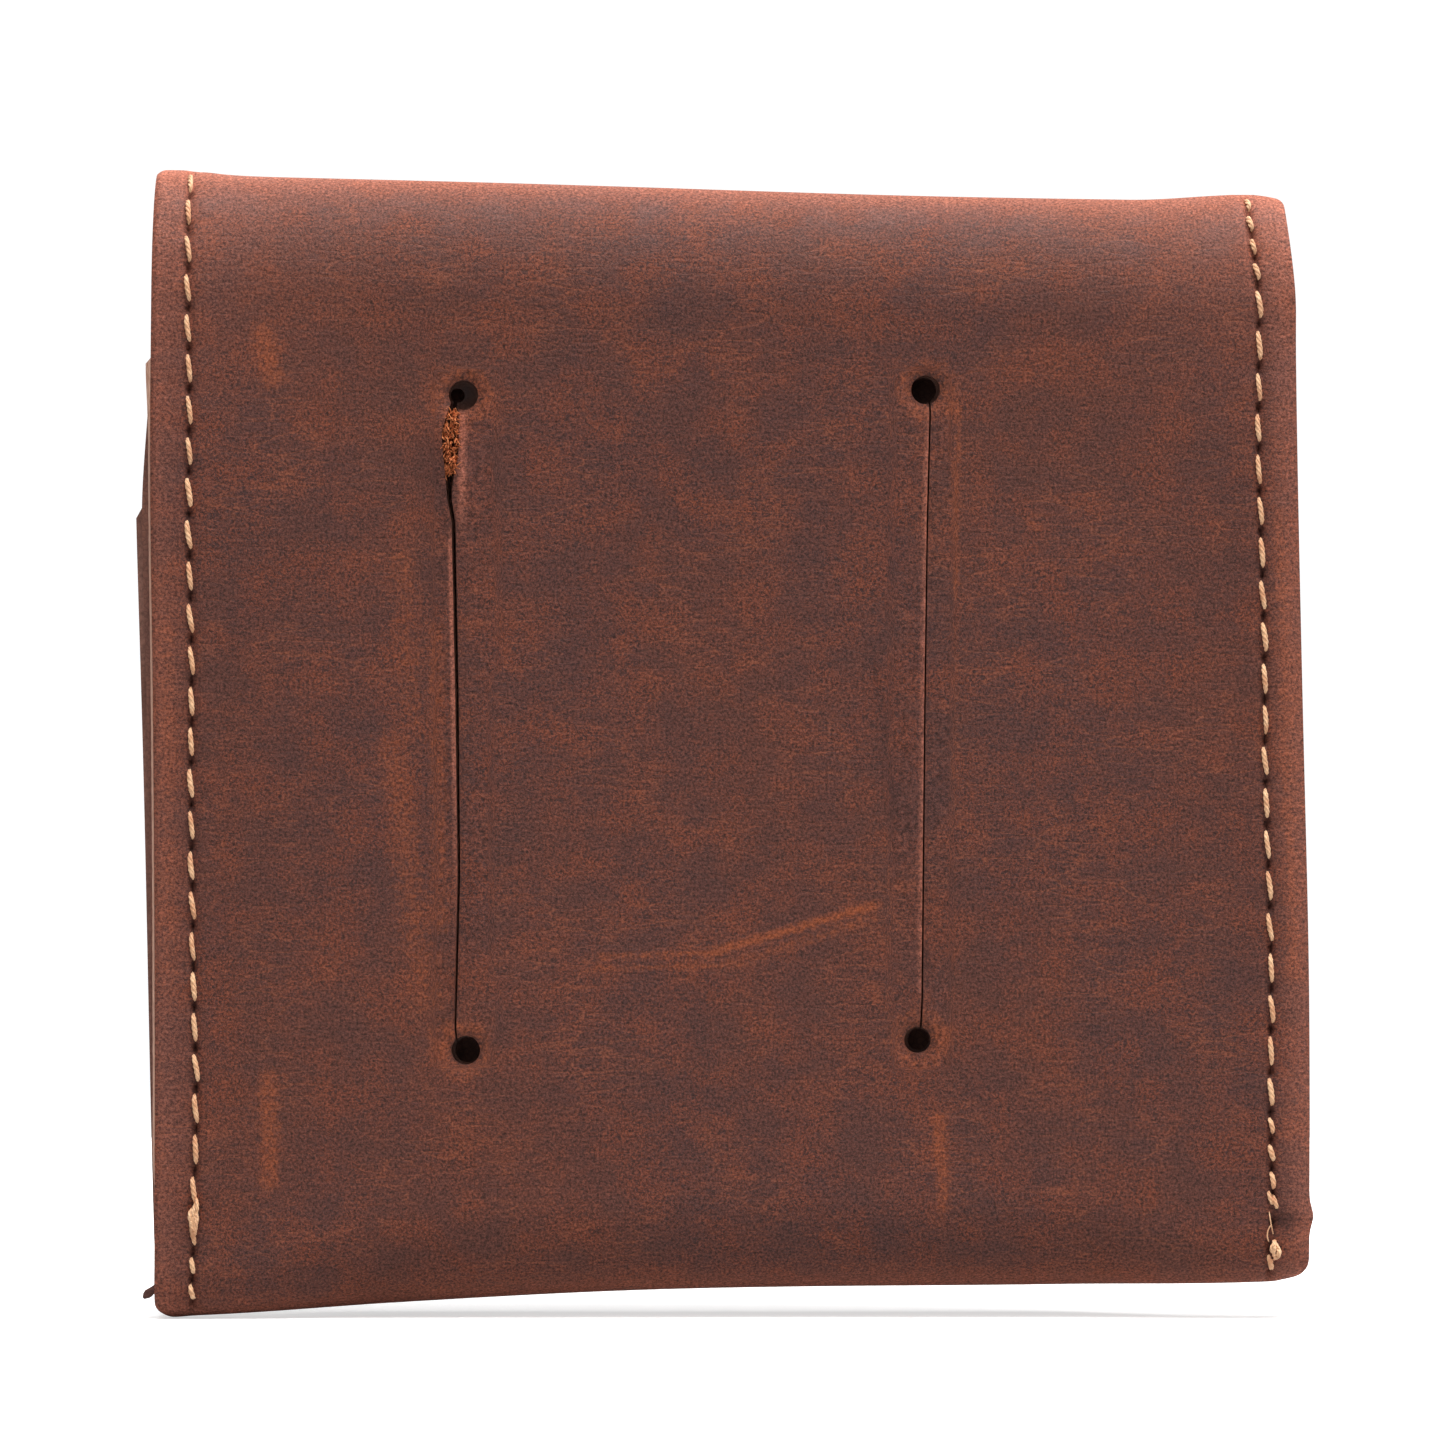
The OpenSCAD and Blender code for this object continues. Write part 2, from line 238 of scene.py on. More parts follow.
def fold_point(home, angle):
    """Depth and height of the top fold's outer face, at an angle from the back up and over to the flap."""
    y = BACK_Y + FOLD_R * (1 - np.cos(angle))
    z = top_z(home) - FOLD_RISE * (1 - np.sin(angle))
    return y, z


def foot_point(home, angle):
    """Depth and height of the bottom fold's outer face, at an angle from the front under to the back."""
    face = front_face(home)
    rise = 4 + (FOOT_RISE - 4) * bow(home)
    y = (face + BACK_Y) / 2 + (face - BACK_Y) / 2 * np.cos(angle)
    z = foot_z(home) + rise * (1 - np.sin(angle))
    return y, z


def flap_end(home):
    """Height of the flap's lower edge, with its round corners."""
    low = flap_low[2] + TOP_SLOPE * (home - flap_high[0])
    return low + corner_round(np.minimum(home - LEFT, RIGHT - home), FLAP_CORNER_R)


def flap_face(home, z):
    """Depth of the flap's outer face: it droops back a little towards its sides and its lower edge."""
    down = np.clip((top_z(home) - FOLD_RISE - z) / 45, 0, 1)
    aside = 1 - bow(home)
    return FLAP_Y - 1.5 * aside * ease(down) - 0.3 * ease((down - 0.85) / 0.4)


def rows_between(start, end, count):
    return list(np.linspace(start, end, count + 1))


def graded(low, high, coarse, fine, centres, reach):
    """An odd number of places from low to high, closer together near the centres."""
    spots = [low]
    while spots[-1] < high:
        distance = min(abs(spots[-1] - centre) for centre in centres)
        spots.append(spots[-1] + fine + (coarse - fine) * float(ease((distance - reach) / (2 * reach))))
    if len(spots) % 2 == 0:
        spots.append(2 * spots[-1] - spots[-2])
    return low + (np.array(spots) - low) * (high - low) / (spots[-1] - low)


class Strip:
    """Outer face of a strip of leather: its points, normals, distance along it and home columns."""

    def __init__(self, home, sections, proud=0.0):
        self.home = np.asarray(home, float)
        self.starts = [0]
        rows = []
        for section in sections:
            rows += section(self.home)[1 if rows else 0:]
            self.starts.append(len(rows) - 1)
        y, z = [np.array([np.broadcast_to(row[k], self.home.shape) for row in rows]) for k in (0, 1)]
        stands_out = proud * np.array([[row[2]] for row in rows])
        home_grid = np.broadcast_to(self.home, y.shape)
        wander = (seam_shift(home_grid, z) + slit_shift(home_grid, z)) * np.array([[row[3]] for row in rows])
        x = home_grid + side_shift(home_grid, z, stands_out) + wander
        self.points = np.stack([x, y, z], axis=2)
        across = np.gradient(self.points, axis=1)
        along = np.gradient(self.points, axis=0)
        normals = np.cross(across, along)
        self.normals = normals / np.linalg.norm(normals, axis=2, keepdims=True)
        steps = np.linalg.norm(np.diff(self.points, axis=0), axis=2)
        self.s = np.vstack([np.zeros(len(self.home)), np.cumsum(steps, axis=0)])
        self.home_grid = home_grid

    def measure_from(self, row, value):
        """Sets the distance along the strip to be a value at one row."""
        self.s = self.s - self.s[row] + value
        return self

    def at(self, s):
        """Point and normal at a distance along the middle column."""
        column = len(self.home) // 2
        where = [np.interp(s, self.s[:, column], self.points[:, column, k]) for k in range(3)]
        facing = [np.interp(s, self.s[:, column], self.normals[:, column, k]) for k in range(3)]
        return np.array(where), np.array(facing) / np.linalg.norm(facing)


# Each section gives rows of (depth, height, how much the side stands out, how much seams and slits wander)

def front_rows(home):
    top = top_z(home) - FRONT_BELOW_TOP
    low = foot_point(home, 0)[1]
    return [(front_face(home), top + (low - top) * t, 0.55 + 0.45 * ease(t / 0.02), 0)
            for t in [0, 0.002, 0.005, 0.01, *rows_between(0.02, 1, 40)]]


def foot_rows(home):
    return [(*foot_point(home, math.pi * t), 1 - t, 0) for t in rows_between(0, 1, 30)]


def back_rows(home):
    low = foot_point(home, math.pi)[1]
    high = fold_point(home, 0)[1]
    places = graded(0, 1, 0.0062, 0.0032, [(z - 5) / 84 for z in SLIT_Z], 0.02)
    heights = [low + (high - low) * t for t in places]
    return [(BACK_Y + back_wave(home, z), z, 0, 1) for z in heights]


def first_fold_rows(home):
    return [(*fold_point(home, a), 0, 1) for a in [*rows_between(0, math.pi / 2 - 0.004, 29), math.pi / 2]]


def last_fold_rows(home):
    return [(*fold_point(home, a), 0, 0)
            for a in [math.pi / 2, *rows_between(math.pi / 2 + 0.004, math.pi, 25)]]


def flap_rows(home):
    high = fold_point(home, math.pi)[1]
    low = flap_end(home)
    places = [*rows_between(0, 0.97, 56), 0.98, 0.99, 0.996, 1]
    heights = [high + (low - high) * t for t in places]
    return [(flap_face(home, z), z, 0, 0) for z in heights]


def case_strip(home):
    strip = Strip(home, [front_rows, foot_rows, back_rows, first_fold_rows], PROUD)
    return strip.measure_from(strip.starts[2], foot_point(strip.home, math.pi)[1])


def flap_strip(home):
    """The flap's strip goes on from the top of the fold. Its sides are set in a little."""
    apex = case_strip(home).s[-1]
    return Strip(home, [last_fold_rows, flap_rows]).measure_from(0, apex)


def near(home):
    """Three columns close to one place across the strip."""
    return [home - 0.05, home, home + 0.05]


# ---------------------------------------------------------------- meshes

def mesh_object(name, spots, faces, materials, kinds=None, place=None):
    """A smooth mesh piece. place is where the materials take each point to be."""
    mesh = bpy.data.meshes.new(name)
    mesh.from_pydata((np.asarray(spots) * MM).tolist(), [], faces)
    for material in materials:
        mesh.materials.append(material)
    if kinds is not None:
        mesh.polygons.foreach_set("material_index", kinds)
    piece = bpy.data.objects.new(name, mesh)
    bpy.context.scene.collection.objects.link(piece)
    write_attribute(mesh, "place", spots if place is None else place)
    clean = bmesh.new()
    clean.from_mesh(mesh)
    bmesh.ops.recalc_face_normals(clean, faces=clean.faces)
    clean.to_mesh(mesh)
    clean.free()
    smooth(mesh)
    return piece


def smooth(mesh):
    mesh.polygons.foreach_set("use_smooth", [True] * len(mesh.polygons))
    mesh.set_sharp_from_angle(angle=math.radians(42))


def mesh_points(mesh):
    return np.array([v.co for v in mesh.vertices]) / MM


def read_place(mesh):
    place = np.zeros(len(mesh.vertices) * 3, np.float32)
    mesh.attributes["place"].data.foreach_get("vector", place)
    return place.reshape(-1, 3)


def write_attribute(mesh, name, values):
    kind, key = ("FLOAT_VECTOR", "vector") if np.ndim(values) == 2 else ("FLOAT", "value")
    attribute = mesh.attributes.get(name) or mesh.attributes.new(name, kind, "POINT")
    attribute.data.foreach_set(key, np.asarray(values, np.float32).ravel())


def grid_faces(rows, cols, start=0):
    return [(start + r * cols + c, start + r * cols + c + 1,
             start + (r + 1) * cols + c + 1, start + (r + 1) * cols + c)
            for r in range(rows - 1) for c in range(cols - 1)]


def border(rows, cols, start=0):
    """The indices round the edge of a grid, in order."""
    index = np.arange(rows * cols).reshape(rows, cols) + start
    return [*index[0, :-1], *index[:-1, -1], *index[-1, :0:-1], *index[:0:-1, 0]]


def closed_sheet(name, strip, relief, thickness, materials, sink=0.0, skive=None):
    """A closed sheet of leather. Its inner face has every second point of the outer one. sink sets the
    whole sheet in, and skive says how far the inner face's left edge stands out past the outer one."""
    outer = strip.points + strip.normals * (relief - sink)[..., None]
    inner = (strip.points - strip.normals * (thickness + sink))[::2, ::2].copy()
    if skive is not None:
        inner[:, 0, 0] -= skive[::2]
    rows, cols = outer.shape[:2]
    inner_rows, inner_cols = inner.shape[:2]
    place = np.stack([strip.home_grid, strip.s, np.zeros_like(strip.s)], axis=2)
    spots = np.vstack([outer.reshape(-1, 3), inner.reshape(-1, 3)])
    places = np.vstack([place.reshape(-1, 3), place[::2, ::2].reshape(-1, 3) - (0, 0, thickness)])
    first = rows * cols
    outer_faces = grid_faces(rows, cols)
    inner_faces = [face[::-1] for face in grid_faces(inner_rows, inner_cols, first)]
    around, inside = border(rows, cols), border(inner_rows, inner_cols, first)
    count = len(inside)
    rim = [(around[2 * i], around[2 * i + 1], around[(2 * i + 2) % len(around)],
            inside[(i + 1) % count], inside[i]) for i in range(count)]
    kinds = [0] * len(outer_faces) + [1] * len(inner_faces) + [2] * len(rim)
    return mesh_object(name, spots, outer_faces + inner_faces + rim, materials, kinds, places)


def prism(outline, y_start, y_end, materials):
    """A cutter: an outline in x and z between two depths. Its faces have the last of the materials."""
    count = len(outline)
    spots = [(x, y, z) for y in (y_start, y_end) for x, z in outline]
    sides = [(i, (i + 1) % count, count + (i + 1) % count, count + i) for i in range(count)]
    faces = [tuple(range(count))[::-1], tuple(range(count, 2 * count)), *sides]
    return mesh_object("cutter", np.array(spots), faces, materials, [len(materials) - 1] * len(faces))


def circle(x, z, radius, count=40):
    turns = [2 * math.pi * i / count for i in range(count)]
    return [(x + radius * math.cos(a), z + radius * math.sin(a)) for a in turns]


def cut_outline(index, widen):
    """Outline of one slit's cut between its two holes."""
    cut, home = CUTS[index], SLIT_X[index]
    downs = np.linspace(-0.005, 1.005, 60)
    heights = SLIT_Z[1] - downs * (SLIT_Z[1] - SLIT_Z[0])
    middle = home + slit_shift(np.full_like(downs, home), heights)
    half = np.interp(downs, cut["down"], cut["half"]) * widen
    return [*zip(middle - half, heights), *zip((middle + half)[::-1], heights[::-1])]


def cut_through(piece, outlines, y_start, y_end, cut_place):
    """Cuts the outlines through a sheet. cut_place(x, z) says which points lie near the cuts, and how far
    along the leather they are, because new points need a place on it too."""
    materials = list(piece.data.materials)
    cutters = [prism(outline, y_start, y_end, materials) for outline in outlines]
    for cutter in cutters:
        modifier = piece.modifiers.new("cut", "BOOLEAN")
        modifier.operation = "DIFFERENCE"
        modifier.solver = "MANIFOLD"
        modifier.object = cutter
    bpy.context.view_layer.update()
    cut_mesh = bpy.data.meshes.new_from_object(piece.evaluated_get(bpy.context.evaluated_depsgraph_get()))
    piece.modifiers.clear()
    piece.data = cut_mesh
    cut_mesh.name = piece.name
    for index, material in enumerate(materials):
        cut_mesh.materials[index] = material
    for cutter in cutters:
        bpy.data.objects.remove(cutter)
    spots = mesh_points(cut_mesh)
    place = read_place(cut_mesh)
    close, along = cut_place(spots[:, 0], spots[:, 2])
    close = close & (spots[:, 1] > y_start) & (spots[:, 1] < y_end)
    place[close] = np.stack([spots[:, 0], along, y_start - spots[:, 1]], axis=1)[close]
    write_attribute(cut_mesh, "place", place)
    smooth(cut_mesh)


def beside_slits(x, z):
    aside = np.minimum(np.abs(x - SLIT_X[0]), np.abs(x - SLIT_X[1]))
    return (aside < 2.6) & (z > SLIT_Z[0] - 2) & (z < SLIT_Z[1] + 2), z


def hole_circles():
    return [circle(x + dx, z + dz, HOLE_R * size)
            for x, pair in zip(SLIT_X, PUNCHED) for z, (dx, dz, size) in zip(SLIT_Z, pair)]


def lining_circles():
    return [circle(x + dx + aside, z + dz, radius)
            for x, pair, behind in zip(SLIT_X, PUNCHED, LINING_HOLES)
            for z, (dx, dz, size), (aside, radius) in zip(SLIT_Z, pair, behind)]


# ---------------------------------------------------------------- relief of the leather

def needle_holes(start, end, even=(-math.inf, math.inf)):
    """Distances along a seam of its needle holes, a little uneven, and closer outside the even part."""
    spots = [start]
    while spots[-1] < end - 0.5 * STITCH_PITCH:
        step = STITCH_PITCH * (1 if even[0] < spots[-1] < even[1] else 0.68)
        spots.append(spots[-1] + step * (1 + chance.uniform(-0.04, 0.04)))
    return spots


def seam_relief(strip, seam, spots):
    """The groove that a seam pulls into the leather, deepest at the needle holes."""
    inside = (strip.s > spots[0] - 1) & (strip.s < spots[-1] + 1)
    aside = strip.home_grid - seam
    to_hole = np.abs(strip.s[..., None] - np.array(spots)).min(axis=2)
    groove = -0.16 * hump(aside, 0.5) - 0.6 * hump(aside, 0.24) * hump(to_hole, 0.5)
    swell = 0.07 * hump(np.abs(aside) - 1.2, 0.8) * (1 - hump(to_hole, 1.0))
    return (groove + swell) * inside


def edge_relief(strip):
    """Rounds the grain side off towards the side edges, crisply on the left and widely on the right."""
    left = np.clip(1 - (strip.home_grid - LEFT) / 0.5, 0, 1) ** 2
    right = np.clip(1 - (RIGHT - strip.home_grid) / 2.6, 0, 1) ** 2.4
    right = right * (0.2 + 0.8 * ease((strip.s - 4) / 6) * ease((90 - strip.s) / 6))
    return -0.22 * left - 1.1 * right


def end_relief(distance, width=0.5, depth=0.25):
    """Rounds the grain side off towards an end of the strip."""
    return -depth * np.clip(1 - distance / width, 0, 1) ** 2


def slit_relief(strip, on_back):
    """Lips of the slits, higher on the left of each cut, and the sunk rims of the punched holes."""
    down = down_slit(strip.s)
    relief = np.zeros_like(strip.s)
    for home, cut, pair, lift in zip(SLIT_X, CUTS, PUNCHED, (0.42, 0.12)):
        aside = strip.home_grid - home
        along = ease(down / 0.06) * ease((1 - down) / 0.08)
        half = np.interp(down, cut["down"], cut["half"])
        left_lip = lift * np.exp(-np.clip(-aside - half, 0, 99) / 1.6) * (aside < 0)
        right_lip = -0.10 * np.exp(-np.clip(aside - half, 0, 99) / 0.9) * (aside >= 0)
        relief += (left_lip + right_lip) * along
        for z, (dx, dz, size) in zip(SLIT_Z, pair):
            away = np.hypot(strip.points[..., 0] - home - dx, strip.points[..., 2] - z - dz)
            relief -= 0.22 * hump(np.clip(away - HOLE_R * size, 0, 99), 0.5)
    return relief * on_back


def dimple(strip, x, z, radius, depth):
    """The hollow that a press stud pulls into the leather."""
    away = np.hypot(strip.points[..., 0] - x, strip.points[..., 2] - z)
    return -depth * (1 - ease((away - radius) / 2.5))


# ---------------------------------------------------------------- thread

def tube(path, radii, sides, start):
    """Points and faces of a closed tube along a path, numbered from start."""
    path = np.asarray(path, float)
    tangents = np.gradient(path, axis=0)
    tangents /= np.linalg.norm(tangents, axis=1, keepdims=True)
    level = np.cross(tangents, (0.31, 0.17, 0.93) if abs(tangents[0][2]) < 0.9 else (0.93, 0.31, 0.17))
    level /= np.linalg.norm(level, axis=1, keepdims=True)
    upright = np.cross(tangents, level)
    turns = np.linspace(0, 2 * math.pi, sides, endpoint=False)
    rings = [centre + radius * (math.cos(a) * u + math.sin(a) * v)
             for centre, radius, u, v in zip(path, radii, level, upright) for a in turns]
    faces = [(start + i * sides + k, start + i * sides + (k + 1) % sides,
              start + (i + 1) * sides + (k + 1) % sides, start + (i + 1) * sides + k)
             for i in range(len(path) - 1) for k in range(sides)]
    last = start + (len(path) - 1) * sides
    faces += [tuple(range(start, start + sides))[::-1], tuple(range(last, last + sides))]
    return rings, faces


def rope(path, facing, radius, start, phase=0.0):
    """Three twisted strands along a path. facing points out of the leather."""
    path = np.asarray(path, float)
    steps = np.linalg.norm(np.diff(path, axis=0), axis=1)
    turned = 2 * math.pi * np.concatenate([[0], np.cumsum(steps)]) / 1.5 + phase
    tangent = path[-1] - path[0]
    tangent /= np.linalg.norm(tangent)
    aside = np.cross(tangent, facing)
    spots, faces = [], []
    for strand in range(3):
        angle = turned + 2 * math.pi * strand / 3
        offset = np.outer(np.cos(angle), aside) + np.outer(np.sin(angle), facing)
        ends = 1 - 0.55 * np.abs(np.linspace(-1, 1, len(path))) ** 3
        middle = path + offset * (radius * 0.5 * ends)[:, None]
        more, more_faces = tube(middle, radius * 0.56 * ends, 7, start + len(spots))
        spots += more
        faces += more_faces
    return spots, faces


def stitch_path(strip, s_start, s_end, slant, rise=0.06, dive=0.6, aside=0.0):
    """A stitch that comes up out of one needle hole and goes down into the next."""
    path = []
    kink = chance.uniform(-0.09, 0.09)
    for t in np.linspace(-1, 1, 15):
        point, facing = strip.at((s_start + s_end) / 2 + t * (s_end - s_start) / 2)
        height = rise - dive * abs(t) ** 4
        path.append(point + facing * height + np.array([aside + slant * t + kink * (1 - t * t), 0, 0]))
    return path, facing


def stitches(strip, spots, extra, left_out):
    """The stitches of a seam, apart from those left out, and then any extra ones: path, facing, radius."""
    for start, end in zip(spots, spots[1:]):
        if left_out[0] < (start + end) / 2 < left_out[1]:
            continue
        pulled_in = 0.14 if end - start < 3 else 0
        slack = (end - start) * (1 - STITCH_LEN / STITCH_PITCH) / 2 + pulled_in
        slant = -0.14 + chance.uniform(-0.07, 0.07)
        rise = 0.06 + chance.uniform(-0.03, 0.03)
        path_and_facing = stitch_path(strip, start + slack, end - slack, slant, rise)
        yield path_and_facing, THREAD_R * chance.uniform(0.92, 1.08)
    yield from extra


def seam_piece(name, strip, spots, extra=(), left_out=(0, 0)):
    """All the visible thread of one seam on one strip."""
    points, faces = [], []
    for (path, facing), radius in stitches(strip, spots, extra, left_out):
        more, more_faces = rope(path, facing, radius, len(points), chance.uniform(0, 6))
        points += more
        faces += more_faces
    return mesh_object(name, np.array(points), faces, [thread])


def tangle(strip, s, aside, length, count, radius, lift):
    """Overlapping ends of thread where a seam was sewn back over itself."""
    strands = []
    for _ in range(count):
        point, facing = strip.at(s + chance.uniform(-0.25, 0.25) * length)
        slant = chance.uniform(-0.45, 0.45)
        reach = length * chance.uniform(0.3, 0.55)
        sway = chance.uniform(-0.45, 0.45)
        path = [point + np.array([aside + slant * t * reach / 2 + sway * (1 - t * t), 0, t * reach])
                + facing * (lift * chance.uniform(0.8, 1.2) * (1 - abs(t) ** 3) - 0.35 * abs(t) ** 4)
                for t in np.linspace(-1, 1, 13)]
        strands.append(((path, facing), radius * chance.uniform(0.8, 1.1)))
    return strands


# ---------------------------------------------------------------- materials

def srgb(red, green, blue):
    """A colour given as it looks on screen, from 0 to 255, as the shaders need it."""
    return (*[(c / 255 / 12.92) if c < 10.3 else ((c / 255 + 0.055) / 1.055) ** 2.4
              for c in (red, green, blue)], 1)


class Shader:
    """Short ways to build one material. Sizes are in millimetres, because the place attribute is."""

    def __init__(self, name, roughness, specular=0.4, metallic=0.0, sheen=0.0):
        self.material = bpy.data.materials.new(name)
        self.material.use_nodes = True
        self.tree = self.material.node_tree
        self.surface = self.tree.nodes["Principled BSDF"]
        self.surface.inputs["Roughness"].default_value = roughness
        self.surface.inputs["Specular IOR Level"].default_value = specular
        self.surface.inputs["Metallic"].default_value = metallic
        self.surface.inputs["Sheen Weight"].default_value = sheen
        self.place = self.attribute("place", "Vector")

    def node(self, kind, **inputs):
        made = self.tree.nodes.new(kind)
        for key, value in inputs.items():
            self.put(made.inputs[key.replace("_", " ")], value)
        return made

    def put(self, socket, value):
        if isinstance(value, bpy.types.NodeSocket):
            self.tree.links.new(value, socket)
        else:
            socket.default_value = value

    def attribute(self, name, output="Fac"):
        made = self.tree.nodes.new("ShaderNodeAttribute")
        made.attribute_name = name
        return made.outputs[output]

    def stretched(self, size, stretch):
        """The place, measured in a size that may differ across, along and through the leather."""
        scale = [1 / (size * k) for k in stretch]
        return self.node("ShaderNodeMapping", Vector=self.place, Scale=scale).outputs[0]

    def noise(self, size, detail=2.0, stretch=(1, 1, 1), rough=0.5, distort=0.0):
        made = self.node("ShaderNodeTexNoise", Vector=self.stretched(size, stretch), Scale=1.0,
                         Detail=detail, Roughness=rough, Distortion=distort)
        return made.outputs["Fac"]

    def cells(self, size, stretch=(1, 1, 1), feature="DISTANCE_TO_EDGE", wobble=0.0):
        place = self.stretched(size, stretch)
        if wobble:
            noise = self.node("ShaderNodeTexNoise", Vector=place, Scale=1.3, Detail=2.0)
            push = self.node("ShaderNodeVectorMath")
            push.operation = "MULTIPLY_ADD"
            self.put(push.inputs[0], noise.outputs["Color"])
            self.put(push.inputs[1], (wobble, wobble, wobble))
            self.put(push.inputs[2], place)
            place = push.outputs[0]
        made = self.tree.nodes.new("ShaderNodeTexVoronoi")
        made.feature = feature
        self.put(made.inputs["Vector"], place)
        self.put(made.inputs["Scale"], 1.0)
        return made.outputs["Distance"]

    def span(self, value, low, high, to_low=0.0, to_high=1.0):
        """Maps low..high to to_low..to_high, smoothly and without going past."""
        made = self.tree.nodes.new("ShaderNodeMapRange")
        made.interpolation_type = "SMOOTHSTEP"
        for key, setting in (("Value", value), ("From Min", low), ("From Max", high),
                             ("To Min", to_low), ("To Max", to_high)):
            self.put(made.inputs[key], setting)
        return made.outputs["Result"]

    def math(self, operation, a, b=0.0):
        made = self.tree.nodes.new("ShaderNodeMath")
        made.operation = operation
        self.put(made.inputs[0], a)
        self.put(made.inputs[1], b)
        return made.outputs[0]

    def mix(self, share, a, b, mode="MIX"):
        made = self.tree.nodes.new("ShaderNodeMix")
        made.data_type = "RGBA"
        made.blend_type = mode
        self.put(made.inputs["Factor"], share)
        self.put(made.inputs["A"], a)
        self.put(made.inputs["B"], b)
        return made.outputs["Result"]

    def grey(self, value):
        made = self.node("ShaderNodeCombineColor", Red=value, Green=value, Blue=value)
        return made.outputs[0]

    def bump(self, height, depth, strength=1.0, under=None):
        made = self.node("ShaderNodeBump", Height=height, Distance=depth * MM, Strength=strength)
        if under is not None:
            self.put(made.inputs["Normal"], under)
        return made.outputs[0]

    def finish(self, color, normal=None, roughness=None):
        self.put(self.surface.inputs["Base Color"], color)
        if normal is not None:
            self.put(self.surface.inputs["Normal"], normal)
        if roughness is not None:
            self.put(self.surface.inputs["Roughness"], roughness)
        return self.material


def grain_leather():
    """Waxed pull-up leather: dark brown with a fine net of reddish creases, and orange where it is rubbed."""
    s = Shader("pull_up_leather", 0.6, specular=0.18)
    rub, stain_and_shade, fold_pale_and_highlight = s.attribute("rub"), s.attribute("stain_and_shade"), s.attribute("fold_pale_and_highlight")
    broad = s.noise(24, detail=4.0, stretch=(1.0, 1.4, 1), rough=0.55)
    cloud = s.noise(4.5, detail=5.0, stretch=(1.15, 1, 1), rough=0.62)
    fibres = s.noise(0.5, detail=5.0, rough=0.7, distort=0.5)
    speck = s.noise(0.24, detail=3.0, rough=0.75)
    net = s.math("ABSOLUTE", s.math("SUBTRACT", s.noise(0.42, detail=3.0, rough=0.6, distort=1.4), 0.5))
    wrinkles = s.cells(2.3, stretch=(2.6, 0.55, 1), wobble=0.8)
    hairlines = s.cells(1.1, stretch=(2.4, 0.45, 1), wobble=0.7)
    between = s.mix(s.span(broad, 0.35, 0.65), srgb(74, 50, 47), srgb(84, 52, 44))
    creased = s.mix(s.span(cloud, 0.35, 0.68), srgb(112, 67, 57), srgb(134, 71, 50))
    share = s.math("MULTIPLY", s.span(net, 0.0, 0.11, 1, 0), s.span(cloud, 0.3, 0.65, 0.6, 0.9))
    color = s.mix(share, between, creased)
    shown = s.span(s.noise(9, detail=3.0), 0.42, 0.62, 0.08, 0.5)
    threads = s.math("MAXIMUM", s.span(wrinkles, 0.0, 0.05, 1, 0), s.span(hairlines, 0.0, 0.06, 0.6, 0))
    color = s.mix(s.math("MULTIPLY", threads, shown), color, srgb(146, 82, 58))
    color = s.mix(s.span(s.noise(3.5, detail=4.0), 0.3, 0.46, 0.15, 0), color, srgb(74, 52, 54))
    worn = s.math("ADD", rub, s.math("MULTIPLY", s.math("SUBTRACT", fibres, 0.5), 1.3))
    worn = s.math("MULTIPLY", s.span(worn, 0.25, 0.95), s.span(rub, 0.0, 0.15))
    color = s.mix(s.math("MULTIPLY", worn, 0.85), color, srgb(158, 82, 48))
    # Painted shade darkens the leather in a crease, at the punched holes' rims and at the needle holes; the same
    # mask also holds a real glue spot.
    color = s.mix(s.math("MULTIPLY", stain_and_shade, 0.85), color, srgb(38, 24, 24))
    # Painted highlight: paler and pinker at the fold tops, along the bottom fold, the side edges and the slits'
    # lips; at the folds part of it is the real paling of pull-up leather where it bends.
    fold_pale_and_highlight = s.math("MULTIPLY", fold_pale_and_highlight, s.span(fibres, 0.35, 0.65, 0.6, 1.3))
    color = s.mix(fold_pale_and_highlight, color, srgb(212, 130, 105))
    color = s.mix(1.0, color, s.grey(s.span(speck, 0.28, 0.72, 0.3, 1.4)), "MULTIPLY")
    normal = s.bump(s.span(net, 0.0, 0.16, 1, 0), 0.04, 0.5)
    normal = s.bump(s.span(wrinkles, 0.0, 0.12), 0.05, 0.3, normal)
    normal = s.bump(s.noise(3.2, detail=3.0), 0.12, 0.5, normal)
    rough = s.span(s.math("ADD", cloud, s.math("MULTIPLY", speck, 0.35)), 0.4, 0.95, 0.5, 0.68)
    return s.finish(color, normal, rough)


def flesh_leather():
    """The matt inner side of the same leather."""
    s = Shader("leather_flesh_side", 0.85, specular=0.2, sheen=0.25)
    nap = s.noise(0.35, detail=4.0, rough=0.7)
    color = s.mix(s.span(nap, 0.3, 0.7), srgb(112, 78, 68), srgb(150, 106, 92))
    color = s.mix(s.span(s.noise(9, detail=2.0), 0.4, 0.7, 0, 0.4), color, srgb(96, 58, 46))
    return s.finish(color, s.bump(nap, 0.08, 0.7))


def cut_edge(name, dark, light):
    """A cut edge, with the fibres running along it."""
    s = Shader(name, 0.75, specular=0.25)
    layers = s.noise(0.3, detail=3.0, stretch=(4, 4, 1), rough=0.6)
    color = s.mix(s.span(layers, 0.3, 0.7), dark, light)
    return s.finish(color, s.bump(layers, 0.06, 0.8))


def lining_material():
    """Thin lining leather with a fine even grain."""
    s = Shader("lining_leather", 0.7, specular=0.3)
    grain = s.cells(0.55, wobble=0.5)
    shade_behind_holes = s.attribute("stain_and_shade")
    color = s.mix(s.span(s.noise(14, detail=3.0), 0.35, 0.65), srgb(108, 67, 51), srgb(126, 81, 63))
    color = s.mix(s.span(grain, 0, 0.2, 0.45, 0), color, srgb(82, 56, 43))
    # Painted shade: the lining darkens round the punched holes, where it is seen through them in the recess behind
    # the outer leather.
    color = s.mix(shade_behind_holes, color, srgb(46, 30, 27))
    return s.finish(color, s.bump(s.span(grain, 0, 0.3), 0.04, 0.6))


